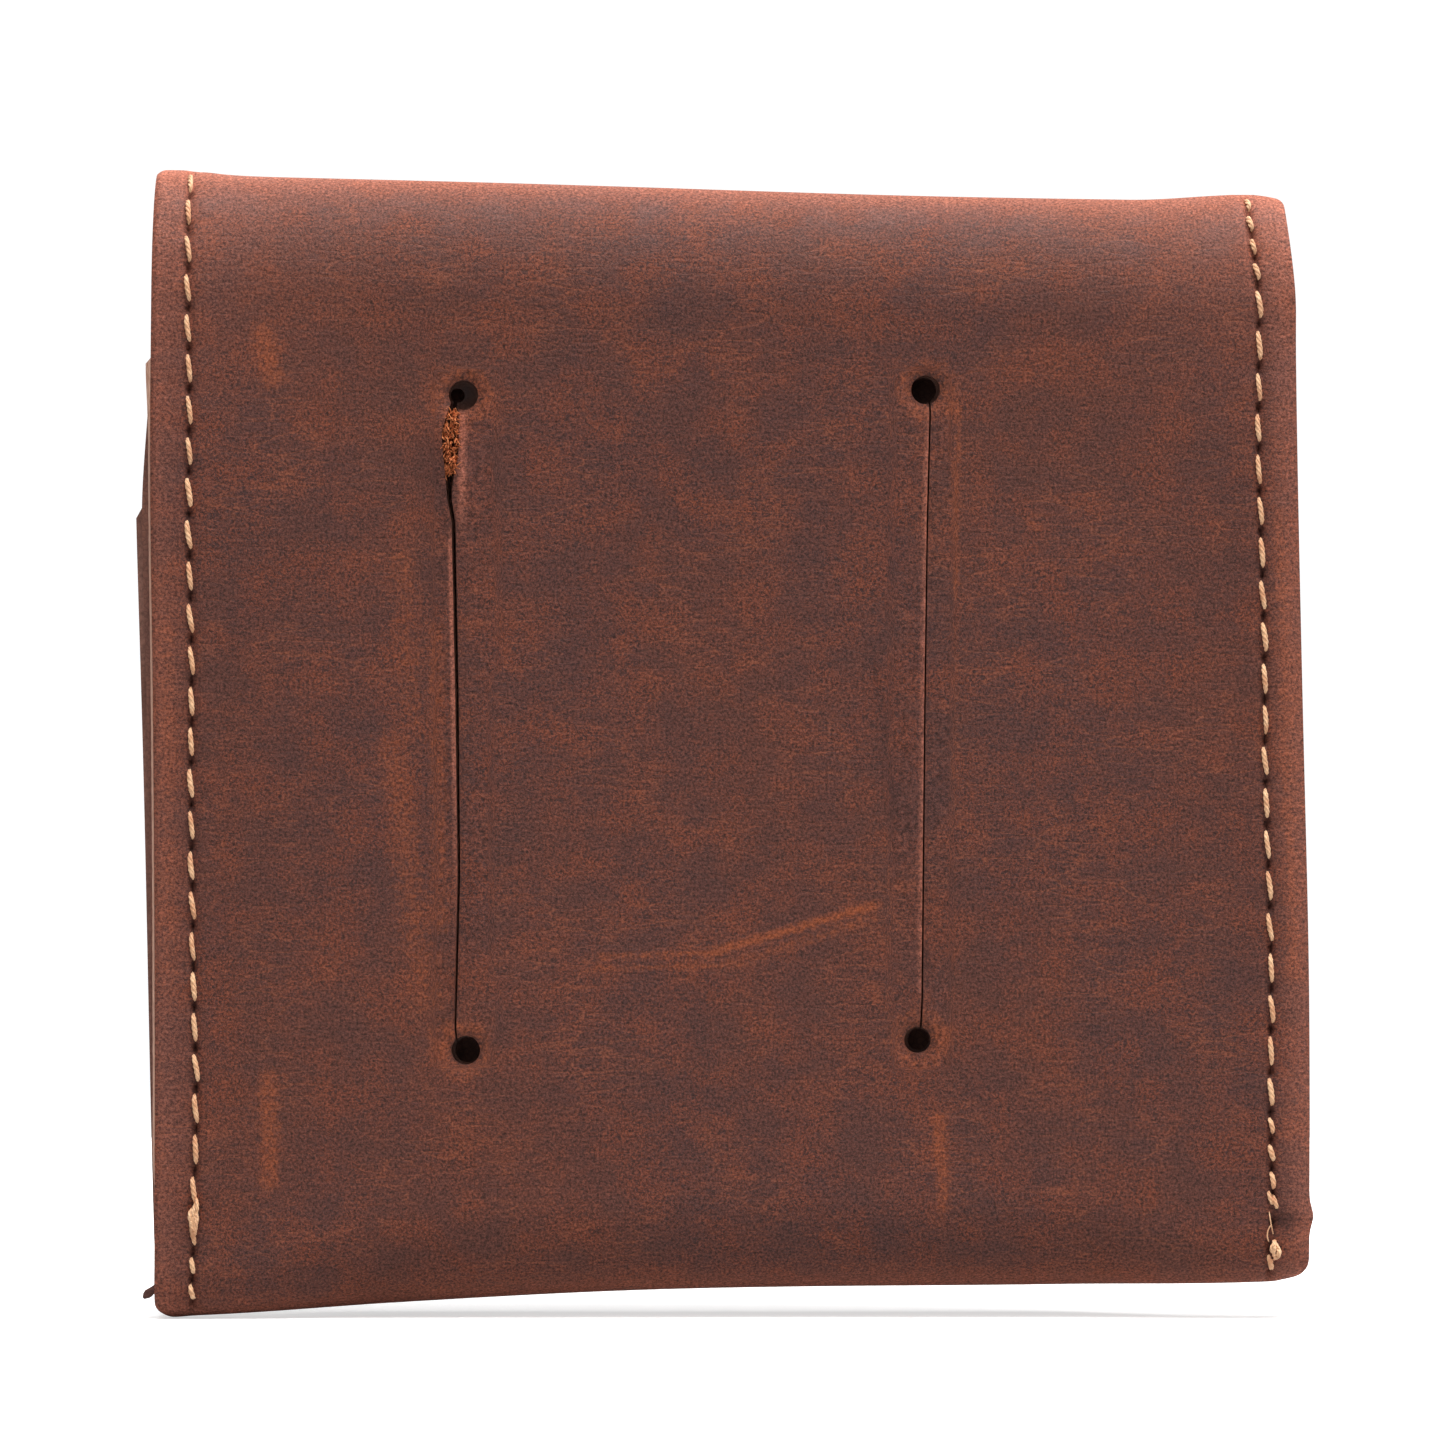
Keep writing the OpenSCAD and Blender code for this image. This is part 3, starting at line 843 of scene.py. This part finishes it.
def pocket_material():
    """The leather of the inner pockets, smoother than the outer one."""
    s = Shader("pocket_leather", 0.62, specular=0.35)
    grain = s.cells(0.5, wobble=0.6)
    color = s.mix(s.span(s.noise(11, detail=4.0), 0.35, 0.65), srgb(122, 80, 68), srgb(138, 90, 74))
    color = s.mix(s.span(grain, 0, 0.16, 0.4, 0), color, srgb(70, 44, 39))
    return s.finish(color, s.bump(s.span(grain, 0, 0.3), 0.035, 0.6))


def thread_material():
    s = Shader("waxed_thread", 0.5, specular=0.45, sheen=0.2)
    tone = s.noise(1.1, detail=3.0)
    fibre = s.noise(0.06, detail=2.0, stretch=(1, 1, 6))
    color = s.mix(s.span(tone, 0.3, 0.7), srgb(212, 152, 110), srgb(240, 194, 150))
    color = s.mix(s.span(fibre, 0.3, 0.55, 0.3, 0), color, srgb(170, 112, 74))
    return s.finish(color, s.bump(fibre, 0.02, 0.6))


def brass_material():
    """Antique brass: bright where it is rubbed and brown elsewhere."""
    s = Shader("antique_brass", 0.34, specular=0.5, metallic=1.0)
    patina = s.noise(1.6, detail=5.0, rough=0.65)
    color = s.mix(s.span(patina, 0.38, 0.62), srgb(120, 92, 56), srgb(186, 150, 92))
    scratches = s.noise(0.12, detail=2.0, stretch=(1, 1, 9))
    return s.finish(color, s.bump(scratches, 0.01, 0.4), s.span(patina, 0.35, 0.65, 0.46, 0.27))


leather = grain_leather()
flesh = flesh_leather()
raw_edge = cut_edge("raw_edge", srgb(186, 132, 110), srgb(236, 190, 166))
dark_edge = cut_edge("dark_edge", srgb(76, 50, 46), srgb(118, 80, 70))
# The walls of the slits and punched holes are coloured much darker than the other raw edges of the same leather:
# painted shade inside the cuts.
shaded_cut_wall = cut_edge("slit_wall", srgb(52, 34, 32), srgb(122, 74, 58))
lining = lining_material()
pocket_leather = pocket_material()
thread = thread_material()
brass = brass_material()


# ---------------------------------------------------------------- marks on the leather, and its painted light and shade

# Rubbed places on the back, as lines from one point to another with a width and a strength
RUBS = [
    (-10.5, 31.6, -1, 31.9, 0.5, 0.62), (-1, 31.9, 13.8, 36.2, 0.6, 0.78),
    (-11.5, 30.5, 1, 30.9, 0.5, 0.55), (1, 30.9, 13.4, 34.9, 0.9, 0.52),
    (20.3, 79, 20.4, 63, 0.5, 0.55), (20.4, 62, 20.1, 43, 0.5, 0.4), (20.6, 40, 20.3, 28, 0.6, 0.35),
    (-39.3, 21, -39.2, 12, 1.5, 0.62), (-42.5, 19, -40, 14, 1.4, 0.36), (-39.9, 86, -38.9, 82, 1.6, 0.64),
    (-27.5, 66, -26.5, 52, 2.4, 0.46), (-28.5, 50, -25.5, 28, 2.6, 0.5), (-24.6, 60, -24.2, 34, 1.2, 0.5),
    (19.1, 17.5, 19.4, 9.8, 1.0, 0.64), (22, 44, 21.5, 25, 2.2, 0.25), (27.3, 69.2, 27.5, 68.8, 0.5, 0.8),
    (-18.6, 18, -17.8, 7, 1.8, 0.34), (-2, 41, -12, 35, 1.6, 0.25), (-39.5, 87, -32, 86, 1.6, 0.3),
    (-36, 30, -36.5, 18, 2.0, 0.2), (44.5, 90, 45.5, 74, 2.2, 0.3), (32, 92, 40, 88, 4.0, 0.25),
    (-47.8, 60, -47.6, 30, 0.9, 0.25), (48.9, 70, 49.3, 30, 0.8, 0.3), (-1, 82.6, -0.2, 81.8, 0.4, 0.6),
]


def line_distance(x, z, mark):
    x0, z0, x1, z1 = mark[:4]
    dx, dz = x1 - x0, z1 - z0
    t = np.clip(((x - x0) * dx + (z - z0) * dz) / (dx * dx + dz * dz), 0, 1)
    return np.hypot(x - x0 - t * dx, z - z0 - t * dz)


def apex_s(x):
    """Distance along the strip of the top of the fold."""
    return np.interp(x, case.home, case.s[-1])


def painted_slit_highlight(x, s):
    """Painted highlight along the slits' lips: the left slit's right lip beside the tear and its left lip below
    it, and the right slit's left lip."""
    down = down_slit(s)
    cut = CUTS[0]
    aside = x - SLIT_X[0] - np.interp(down, cut["down"], cut["aside"])
    half = np.interp(down, cut["down"], cut["half"])
    beside_tear = ease((down - 0.02) / 0.03) * ease((0.24 - down) / 0.12)
    below_tear = ease((down - 0.2) / 0.04) * ease((0.9 - down) / 0.4)
    right = 0.5 * hump(x - SLIT_X[0] + 0.2, 0.35) * beside_tear
    torn = (right + 0.6 * hump(aside + half + 0.14, 0.17) * below_tear) * (np.abs(x - SLIT_X[0]) < 2.4)
    whole = x - SLIT_X[1] - np.interp(down, CUTS[1]["down"], CUTS[1]["aside"])
    return torn + 0.42 * hump(whole + 0.2, 0.16) * ease((down - 0.02) / 0.05) * ease((0.97 - down) / 0.1)


def paint_marks_and_light(piece, seam_spots=()):
    """Writes how rubbed the leather is at each point, how much paler it is painted (pull-up paling where it bends
    and painted highlight) and how much darker (a real glue spot beside the knot of the right seam, and painted
    shade in a short crease, round the holes' rims and at the needle holes)."""
    mesh = piece.data
    x, s = read_place(mesh)[:, :2].T
    rub = np.max([mark[5] * hump(line_distance(x, s, mark), mark[4]) for mark in RUBS], axis=0)
    glue = 1.2 * hump(np.hypot((x - 48.5) / 1.2, s - 8.7), 0.9)
    # Painted shade along a short crease.
    crease = 0.25 * hump(x - 14.4 - (50 - s) * 0.14, 0.5) * ease((s - 42) / 3) * ease((60 - s) / 3)
    stain_and_shade = glue + crease
    for home, pair in zip(SLIT_X, PUNCHED):
        for z, (dx, dz, size) in zip(SLIT_Z, pair):
            away = np.hypot(x - home - dx, s - z - dz) - HOLE_R
            rub = rub + 0.5 * hump(np.clip(away - 0.9, 0, 99), 1.0) * (away > -0.2)
            # Painted shade darkening the rim of each punched hole.
            stain_and_shade = stain_and_shade + 0.5 * hump(np.clip(away, 0, 99), 0.3)
    side = np.minimum(x - LEFT, RIGHT - x)
    rub = rub + 0.28 * hump(side, 2.6)
    to_apex = s - apex_s(x)
    # Paler at the top of the fold, partly the real paling of pull-up leather and partly a painted highlight, and a
    # painted highlight along the bottom fold, where the floor throws light up.
    fold_pale_and_highlight = 0.5 * hump(to_apex, 3.5) + 0.04 * hump(to_apex, 9) + 0.5 * hump(s - foot_z(x) + 2.3, 2.6)
    # Painted highlight along the side edges, widening towards the upper corners.
    fold_pale_and_highlight = fold_pale_and_highlight + 0.17 * hump(side, 2.5) + 0.13 * hump(side, 13) * ease((s - 70) / 28)
    for seam, spots in zip(SEAM_X, seam_spots):
        to_hole = np.abs(s[:, None] - np.array(spots)).min(axis=1)
        # Painted shade in the seam groove, darkest at the needle holes.
        stain_and_shade = stain_and_shade + (0.2 * hump(x - seam, 0.35) + 0.8 * hump(x - seam, 0.2) * hump(to_hole, 0.75))
    write_attribute(mesh, "rub", np.clip(rub, 0, 1))
    # The slits' lips get a painted highlight too.
    write_attribute(mesh, "fold_pale_and_highlight", np.clip(fold_pale_and_highlight + painted_slit_highlight(x, s), 0, 1))
    write_attribute(mesh, "stain_and_shade", np.clip(stain_and_shade, 0, 1))


# ---------------------------------------------------------------- the strip of outer leather

columns = graded(LEFT, RIGHT, 0.75, 0.22, [LEFT - 0.4, *SEAM_X, *SLIT_X, RIGHT + 0.4], 1.1)
case = case_strip(columns)

back_columns = [case_strip(near(seam)) for seam in SEAM_X]
back_seams = [needle_holes(float(foot_z(seam)) + start, strip.s[-1, 1], even)
              for seam, strip, start, even in zip(SEAM_X, back_columns, SEAM_START, SEAM_EVEN)]
front_seams = [needle_holes(strip.s[0, 1] + 1.2, strip.s[strip.starts[1] + 8, 1]) for strip in back_columns]

on_back = (np.arange(len(case.points)) >= case.starts[2])[:, None] * 1.0
case_relief = edge_relief(case) + end_relief(case.s - case.s[0])
for seam, back_spots, front_spots in zip(SEAM_X, back_seams, front_seams):
    case_relief = case_relief + seam_relief(case, seam, back_spots) + seam_relief(case, seam, front_spots)
case_relief = case_relief + slit_relief(case, on_back)
case_relief = case_relief + dimple(case, SNAP_X, SNAP_Z, 4.2, FRONT_Y - stud_low[1]) * (1 - on_back)

height = case.points[:, 0, 2]
skived = (0.27 + 0.25 * hump(height - 83.5, 4)) * ease((height - 9) / 6) * ease((83.8 - height) / 0.6)
case_leather = closed_sheet("case_leather", case, case_relief, LEATHER, [leather, flesh, raw_edge],
                            skive=skived * on_back[:, 0])
# The cuts' walls take the darker material, which is painted shade.
case_leather.data.materials.append(shaded_cut_wall)
cut_through(case_leather, hole_circles() + [cut_outline(0, 1), cut_outline(1, 1)],
            BACK_Y - 2, BACK_Y + LEATHER + 0.3, beside_slits)
paint_marks_and_light(case_leather, back_seams)

flap = flap_strip(columns)
flap_columns = [flap_strip(near(seam)) for seam in SEAM_X]
flap_seams = [needle_holes(strip.s[0, 1] + 0.5, strip.s[-1, 1] - 1.5) for strip in flap_columns]
flap_relief = edge_relief(flap) + end_relief(flap.s[-1] - flap.s)
for seam, spots in zip(SEAM_X, flap_seams):
    flap_relief = flap_relief + seam_relief(flap, seam, spots)
flap_relief = flap_relief + dimple(flap, SNAP_X, SNAP_Z, 6.0, 0.4)
flap_leather = closed_sheet("flap_strip", flap, flap_relief, LEATHER, [leather, flesh, raw_edge])
paint_marks_and_light(flap_leather, flap_seams)


# ---------------------------------------------------------------- linings and inner pockets

def part_of(strip, first):
    """The rows of a strip from one row on, an odd number of them."""
    first -= (len(strip.points) - first + 1) % 2
    for key in ("points", "normals", "s", "home_grid"):
        setattr(strip, key, getattr(strip, key)[first:])
    return strip


def odd(places):
    """The places, without the last one if they are an even number."""
    return places if len(places) % 2 else places[:-1]


def lining_sheet(name, strip):
    """A flat sheet of lining, just inside the outer leather."""
    flat = np.zeros_like(strip.s)
    return closed_sheet(name, strip, flat, LINING - 0.04, [lining, lining, dark_edge], LEATHER + 0.02)


inner_columns = odd(columns[2:-2:2])
back_inside = case_strip(inner_columns)
back_inside = part_of(back_inside, back_inside.starts[2] + 6)
case_lining = lining_sheet("case_lining", back_inside)
cut_through(case_lining, lining_circles() + [cut_outline(0, 0.5), cut_outline(1, 0.8)],
            BACK_Y + LEATHER - 0.4, BACK_Y + LEATHER + LINING + 0.4, beside_slits)
lining_x, lining_y, lining_z = mesh_points(case_lining.data).T
# Painted shade on the lining's back face round the punched holes, where it is seen in the recess through them.
shade_behind_holes = sum(hump(np.hypot(lining_x - x, lining_z - z), 1.8) for x in SLIT_X for z in SLIT_Z)
write_attribute(case_lining.data, "stain_and_shade", shade_behind_holes * (lining_y < BACK_Y + LEATHER + 0.2))

flap_inside = flap_strip(inner_columns)
flap_lining = lining_sheet("flap_lining_sheet", flap_inside)


def round_socket(x, z):
    middle = len(inner_columns) // 2
    along = np.interp(-z, -flap_inside.points[:, middle, 2], flap_inside.s[:, middle])
    return np.hypot(x - SNAP_X, z - SNAP_Z) < SOCKET_R + 2, along


cut_through(flap_lining, [circle(SNAP_X, SNAP_Z, SOCKET_R + 0.1)],
            FLAP_Y - LEATHER - LINING - 1, FLAP_Y - LEATHER + 0.3, round_socket)


def pocket_sheet(name, back_y, front_y, drop, proud):
    """A pocket layer: flat in the side margins, at back_y, and bowed forward between them to front_y. drop
    says how far its upper edge lies below the top fold."""
    def rows(home):
        low = foot_z(home) + FOOT_RISE + 0.3
        high = top_z(home) - drop
        back = back_y + (front_y - POCKET - back_y) * bow(home)
        places = [*rows_between(0, 0.985, 58), 0.99, 0.995, 0.998, 1]
        return [(back, low + (high - low) * t, 1.3 - 0.75 * ease((t - 0.82) / 0.18), 0) for t in places]

    strip = Strip(odd(columns[1:-1:2]), [rows], proud)
    strip.measure_from(0, 10.0)
    relief = end_relief(strip.s[-1] - strip.s, 0.5, 0.15)
    faces = [pocket_leather, pocket_leather, dark_edge]
    return closed_sheet(name, strip, relief, POCKET - 0.04, faces, 0.02)


divider = pocket_sheet("divider_panel", divider_low[1], divider_high[1], DIVIDER_BELOW_TOP, 0)
card_pocket = pocket_sheet("card_pocket_panel", pocket_low[1], pocket_high[1], POCKET_BELOW_TOP, POCKET_PROUD)


# ---------------------------------------------------------------- sewing

back_tack = tangle(back_columns[0], 9.1, 0.05, 3.0, 8, 0.2, 0.6)
knot = tangle(back_columns[1], 6.2, 0.35, 1.5, 6, 0.16, 0.5)
double_stitch = [(stitch_path(back_columns[1], low, low + 1.3, -0.2, aside=aside), 0.19)
                 for low, aside in ((10.0, -0.15), (9.6, 0.25))]
loose_end = tangle(back_columns[1], 8.0, -0.1, 2.2, 2, 0.07, 0.15)
ends_on_right = knot + double_stitch + loose_end
seams = [seam_piece("left_seam", back_columns[0], back_seams[0], back_tack),
         seam_piece("right_seam", back_columns[1], back_seams[1], ends_on_right, (6.8, 11.6))]
under_seams = [seam_piece(f"{side}_under_seam", strip, spots)
               for side, strip, spots in zip(("left", "right"), back_columns, front_seams)]
flap_threads = [seam_piece(f"{side}_flap_seam", strip, spots)
                for side, strip, spots in zip(("left", "right"), flap_columns, flap_seams)]


def torn_fibres():
    """Raw fibres that stand out of the torn upper end of the left slit."""
    def scattered(*ranges):
        return np.array([chance.uniform(*between) for between in ranges])

    cut, home = CUTS[0], SLIT_X[0]
    spots, faces = [], []
    for _ in range(260):
        down = chance.uniform(0.03, 0.125)
        z = SLIT_Z[1] - down * (SLIT_Z[1] - SLIT_Z[0])
        middle = home + float(slit_shift(np.array([home]), np.array([z]))[0])
        half = float(np.interp(down, cut["down"], cut["half"]))
        x = middle + half * chance.uniform(-1.1, 0.9)
        root = np.array([x, BACK_Y + chance.uniform(0.1, 0.7), z])
        lean = scattered((-0.25, 0.45), (-0.95, -0.3), (-0.45, 0.45))
        curl = scattered((-0.3, 0.3), (0, 0.2), (-0.35, 0.35))
        path = [root + lean * t + curl * t * t for t in (0, 0.35, 0.7, 1)]
        more, more_faces = tube(path, [0.07, 0.065, 0.05, 0.025], 5, len(spots))
        spots += more
        faces += more_faces
    s = Shader("torn_fibre", 0.8, specular=0.2)
    fibre = s.finish(s.mix(s.span(s.noise(0.5), 0.35, 0.65), srgb(150, 80, 46), srgb(224, 138, 88)))
    return mesh_object("slit_fibres", np.array(spots), faces, [fibre])


def loose_tail():
    """The end of a leather sliver that sticks out at the bottom left corner."""
    root = np.array([LEFT + 0.4, (MARGIN_Y + BACK_Y) / 2, foot_z(LEFT) + 2.6])
    path = [root + np.array([-1.5 * t, 0.2 * t, -0.2 * t - 0.75 * t * t]) for t in np.linspace(0, 1, 8)]
    spots, faces = tube(path, [0.42, 0.42, 0.4, 0.36, 0.38, 0.42, 0.34, 0.12], 8, 0)
    return mesh_object("loose_tail", np.array(spots), faces, [dark_edge])


slit_fibres = torn_fibres()
tail = loose_tail()


# ---------------------------------------------------------------- press stud

def lathe(name, profile, y_start):
    """Turns a profile of radius and forward height about the press stud's axis."""
    turns = 72
    spots, rings = [], []
    for radius, forward in profile:
        if radius == 0:
            rings.append([len(spots)] * turns)
            spots.append((SNAP_X, y_start + forward, SNAP_Z))
        else:
            rings.append(list(range(len(spots), len(spots) + turns)))
            spots += [(SNAP_X + radius * math.cos(2 * math.pi * i / turns), y_start + forward,
                       SNAP_Z + radius * math.sin(2 * math.pi * i / turns)) for i in range(turns)]
    faces = []
    for ring, following in zip(rings, rings[1:]):
        for i in range(turns):
            corner = [ring[i], ring[(i + 1) % turns], following[(i + 1) % turns], following[i]]
            faces.append(tuple(dict.fromkeys(corner)))
    if profile[0][0] and profile[-1][0]:
        last, first = rings[-1], rings[0]
        faces += [(last[i], last[(i + 1) % turns], first[(i + 1) % turns], first[i]) for i in range(turns)]
    return mesh_object(name, np.array(spots), faces, [brass])


def dome(radius, base, height, count=12):
    """Profile of a dome from its rim to its top."""
    return [(radius * math.cos(math.pi / 2 * i / count), base + height * math.sin(math.pi / 2 * i / count))
            for i in range(count)] + [(0, base + height)]


# Profiles of the four parts, each from its underside round to its top
cap_rim = [(0, 0), (CAP_R - 0.5, 0), (CAP_R - 0.12, 0.06), (CAP_R, 0.2), (CAP_R, 0.36), (CAP_R - 0.1, 0.5),
           (CAP_R - 0.35, 0.56)]
cap_dome = dome(CAP_R - 0.5, 0.5, cap_high[1] - FLAP_Y - 0.12)
shank_turned = [(0, 0), (2.4, 0), (2.4, 0.62), (0, 0.62)]
socket_bore = [(2.1, 0.3), (2.25, 0.08), (2.5, 0)]
socket_ring = [(3.3, 0), (3.45, 0.18), (3.6, 0.2), (3.75, 0.05), (4.2, 0), (5.0, 0.05), (5.3, 0.2)]
socket_back = [(SOCKET_R, 0.45), (SOCKET_R, 1.1), (SOCKET_R - 0.1, 1.2), (2.3, 1.2), (2.1, 1.1)]
head = stud_high[1] - stud_low[1]
stud_flange = [(0, 0.02), (STUD_R - 0.2, 0.02), (STUD_R, 0.15), (STUD_R, 0.35), (STUD_R - 0.25, 0.48)]
stud_neck = [(2.5, 0.5), (1.95, 0.6), (1.72, 0.8), (1.75, 1.0), (1.9, 1.2), (1.9, head - 0.35)]
stud_head = [(1.75, head - 0.12), (1.4, head), (0.8, head), (0.55, head - 0.2), (0, head - 0.25)]
post_turned = [(0, 0), (1.2, 0), (1.4, 0.08), (POST_R - 0.3, 0.02), (POST_R, 0.15), (POST_R, 0.4),
               (POST_R - 0.2, 0.5), (0, 0.5)]
cap = lathe("press_cap", cap_rim + cap_dome, FLAP_Y - 0.4)
shank = lathe("press_shank", shank_turned, FLAP_Y - 1.02)
socket = lathe("press_socket", socket_bore + socket_ring + socket_back, socket_low[1])
stud = lathe("press_stud", stud_flange + stud_neck + stud_head, stud_low[1])
post = lathe("press_post", post_turned, post_low[1])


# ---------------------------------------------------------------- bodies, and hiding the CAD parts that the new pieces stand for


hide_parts("outer_shell", "top_fold")
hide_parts("flap_leather")
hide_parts("back_lining", "fold_lining")
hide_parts("flap_lining")
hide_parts("divider")
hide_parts("card_pocket")
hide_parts("left_seam_thread")
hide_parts("right_seam_thread")
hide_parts("left_bobbin_thread")
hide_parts("right_bobbin_thread")
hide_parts("flap_left_thread")
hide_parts("flap_right_thread")
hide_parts("snap_cap")
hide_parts("snap_socket")
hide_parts("snap_stud")
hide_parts("snap_post")

for piece in (case_leather, case_lining, *seams):
    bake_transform(piece)
for piece in (flap_leather, flap_lining, *flap_threads):
    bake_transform(piece)
for piece in (divider, card_pocket, *under_seams, slit_fibres, tail, stud, post):
    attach(piece, "case")
for piece in (cap, shank, socket):
    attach(piece, "flap")


# ---------------------------------------------------------------- floor, light and camera

def floor():
    """A pale floor. It throws back less light than it shows, so it hardly lights the holder from below."""
    s = Shader("pale_floor", 0.9, specular=0.1)
    seen = s.tree.nodes.new("ShaderNodeLightPath").outputs["Is Camera Ray"]
    material = s.finish(s.mix(seen, (0.55, 0.55, 0.55, 1), (0.9, 0.9, 0.9, 1)))
    s.surface.inputs["Emission Color"].default_value = (1, 1, 1, 1)
    s.put(s.surface.inputs["Emission Strength"], s.math("MULTIPLY", seen, 0.5))
    spots = np.array([(x * 300, y * 300, 0) for x, y in ((-1, -1), (1, -1), (1, 1), (-1, 1))])
    piece = mesh_object("floor", spots, [(0, 1, 2, 3)], [material])


def soft_light(name, position, target, size, power):
    data = bpy.data.lights.new(name, "AREA")
    data.shape = "RECTANGLE"
    data.size, data.size_y = size
    data.energy = power
    lamp = bpy.data.objects.new(name, data)
    lamp.location = position
    lamp.rotation_euler = (Vector(target) - Vector(position)).to_track_quat("-Z", "Y").to_euler()
    bpy.context.scene.collection.objects.link(lamp)


def pale_world(shown, lighting):
    """White behind the object, and a weaker even light on it."""
    world = bpy.data.worlds.new("pale_room")
    bpy.context.scene.world = world
    world.use_nodes = True
    tree = world.node_tree
    tree.nodes.clear()
    path = tree.nodes.new("ShaderNodeLightPath")
    mix = tree.nodes.new("ShaderNodeMixShader")
    out = tree.nodes.new("ShaderNodeOutputWorld")
    for index, strength in ((1, lighting), (2, shown)):
        background = tree.nodes.new("ShaderNodeBackground")
        background.inputs["Color"].default_value = (1, 1, 1, 1)
        background.inputs["Strength"].default_value = strength
        tree.links.new(background.outputs[0], mix.inputs[index])
    tree.links.new(path.outputs["Is Camera Ray"], mix.inputs[0])
    tree.links.new(mix.outputs[0], out.inputs["Surface"])


def camera():
    """Square to the back, a little above the middle of the holder, as the photographer stood."""
    data = bpy.data.cameras.new("camera")
    data.lens, data.sensor_width = 200, 36
    view_x, view_z, view_width = 0.185, 51.96, 125.65
    distance = view_width * data.lens / data.sensor_width
    made = bpy.data.objects.new("camera", data)
    made.location = Vector((view_x, BACK_Y - distance, view_z)) * MM
    made.rotation_euler = (math.pi / 2, 0, 0)
    data.clip_start, data.clip_end = 0.01, 20
    bpy.context.scene.collection.objects.link(made)
    bpy.context.scene.camera = made


floor()
soft_light("top_light", (0.12, -0.15, 0.75), (0, 0, 0.05), (0.7, 0.45), 11.0)
soft_light("front_light", (-0.25, -0.9, 0.35), (0, 0, 0.05), (0.8, 0.8), 1.2)
soft_light("side_light", (0.8, -0.25, 0.3), (0, 0, 0.05), (0.4, 0.6), 2.0)
soft_light("far_light", (-0.3, 0.8, 0.6), (0, 0, 0.05), (0.5, 0.5), 1.5)
pale_world(1.05, 0.15)
camera()
bpy.context.scene.view_settings.view_transform = "Standard"
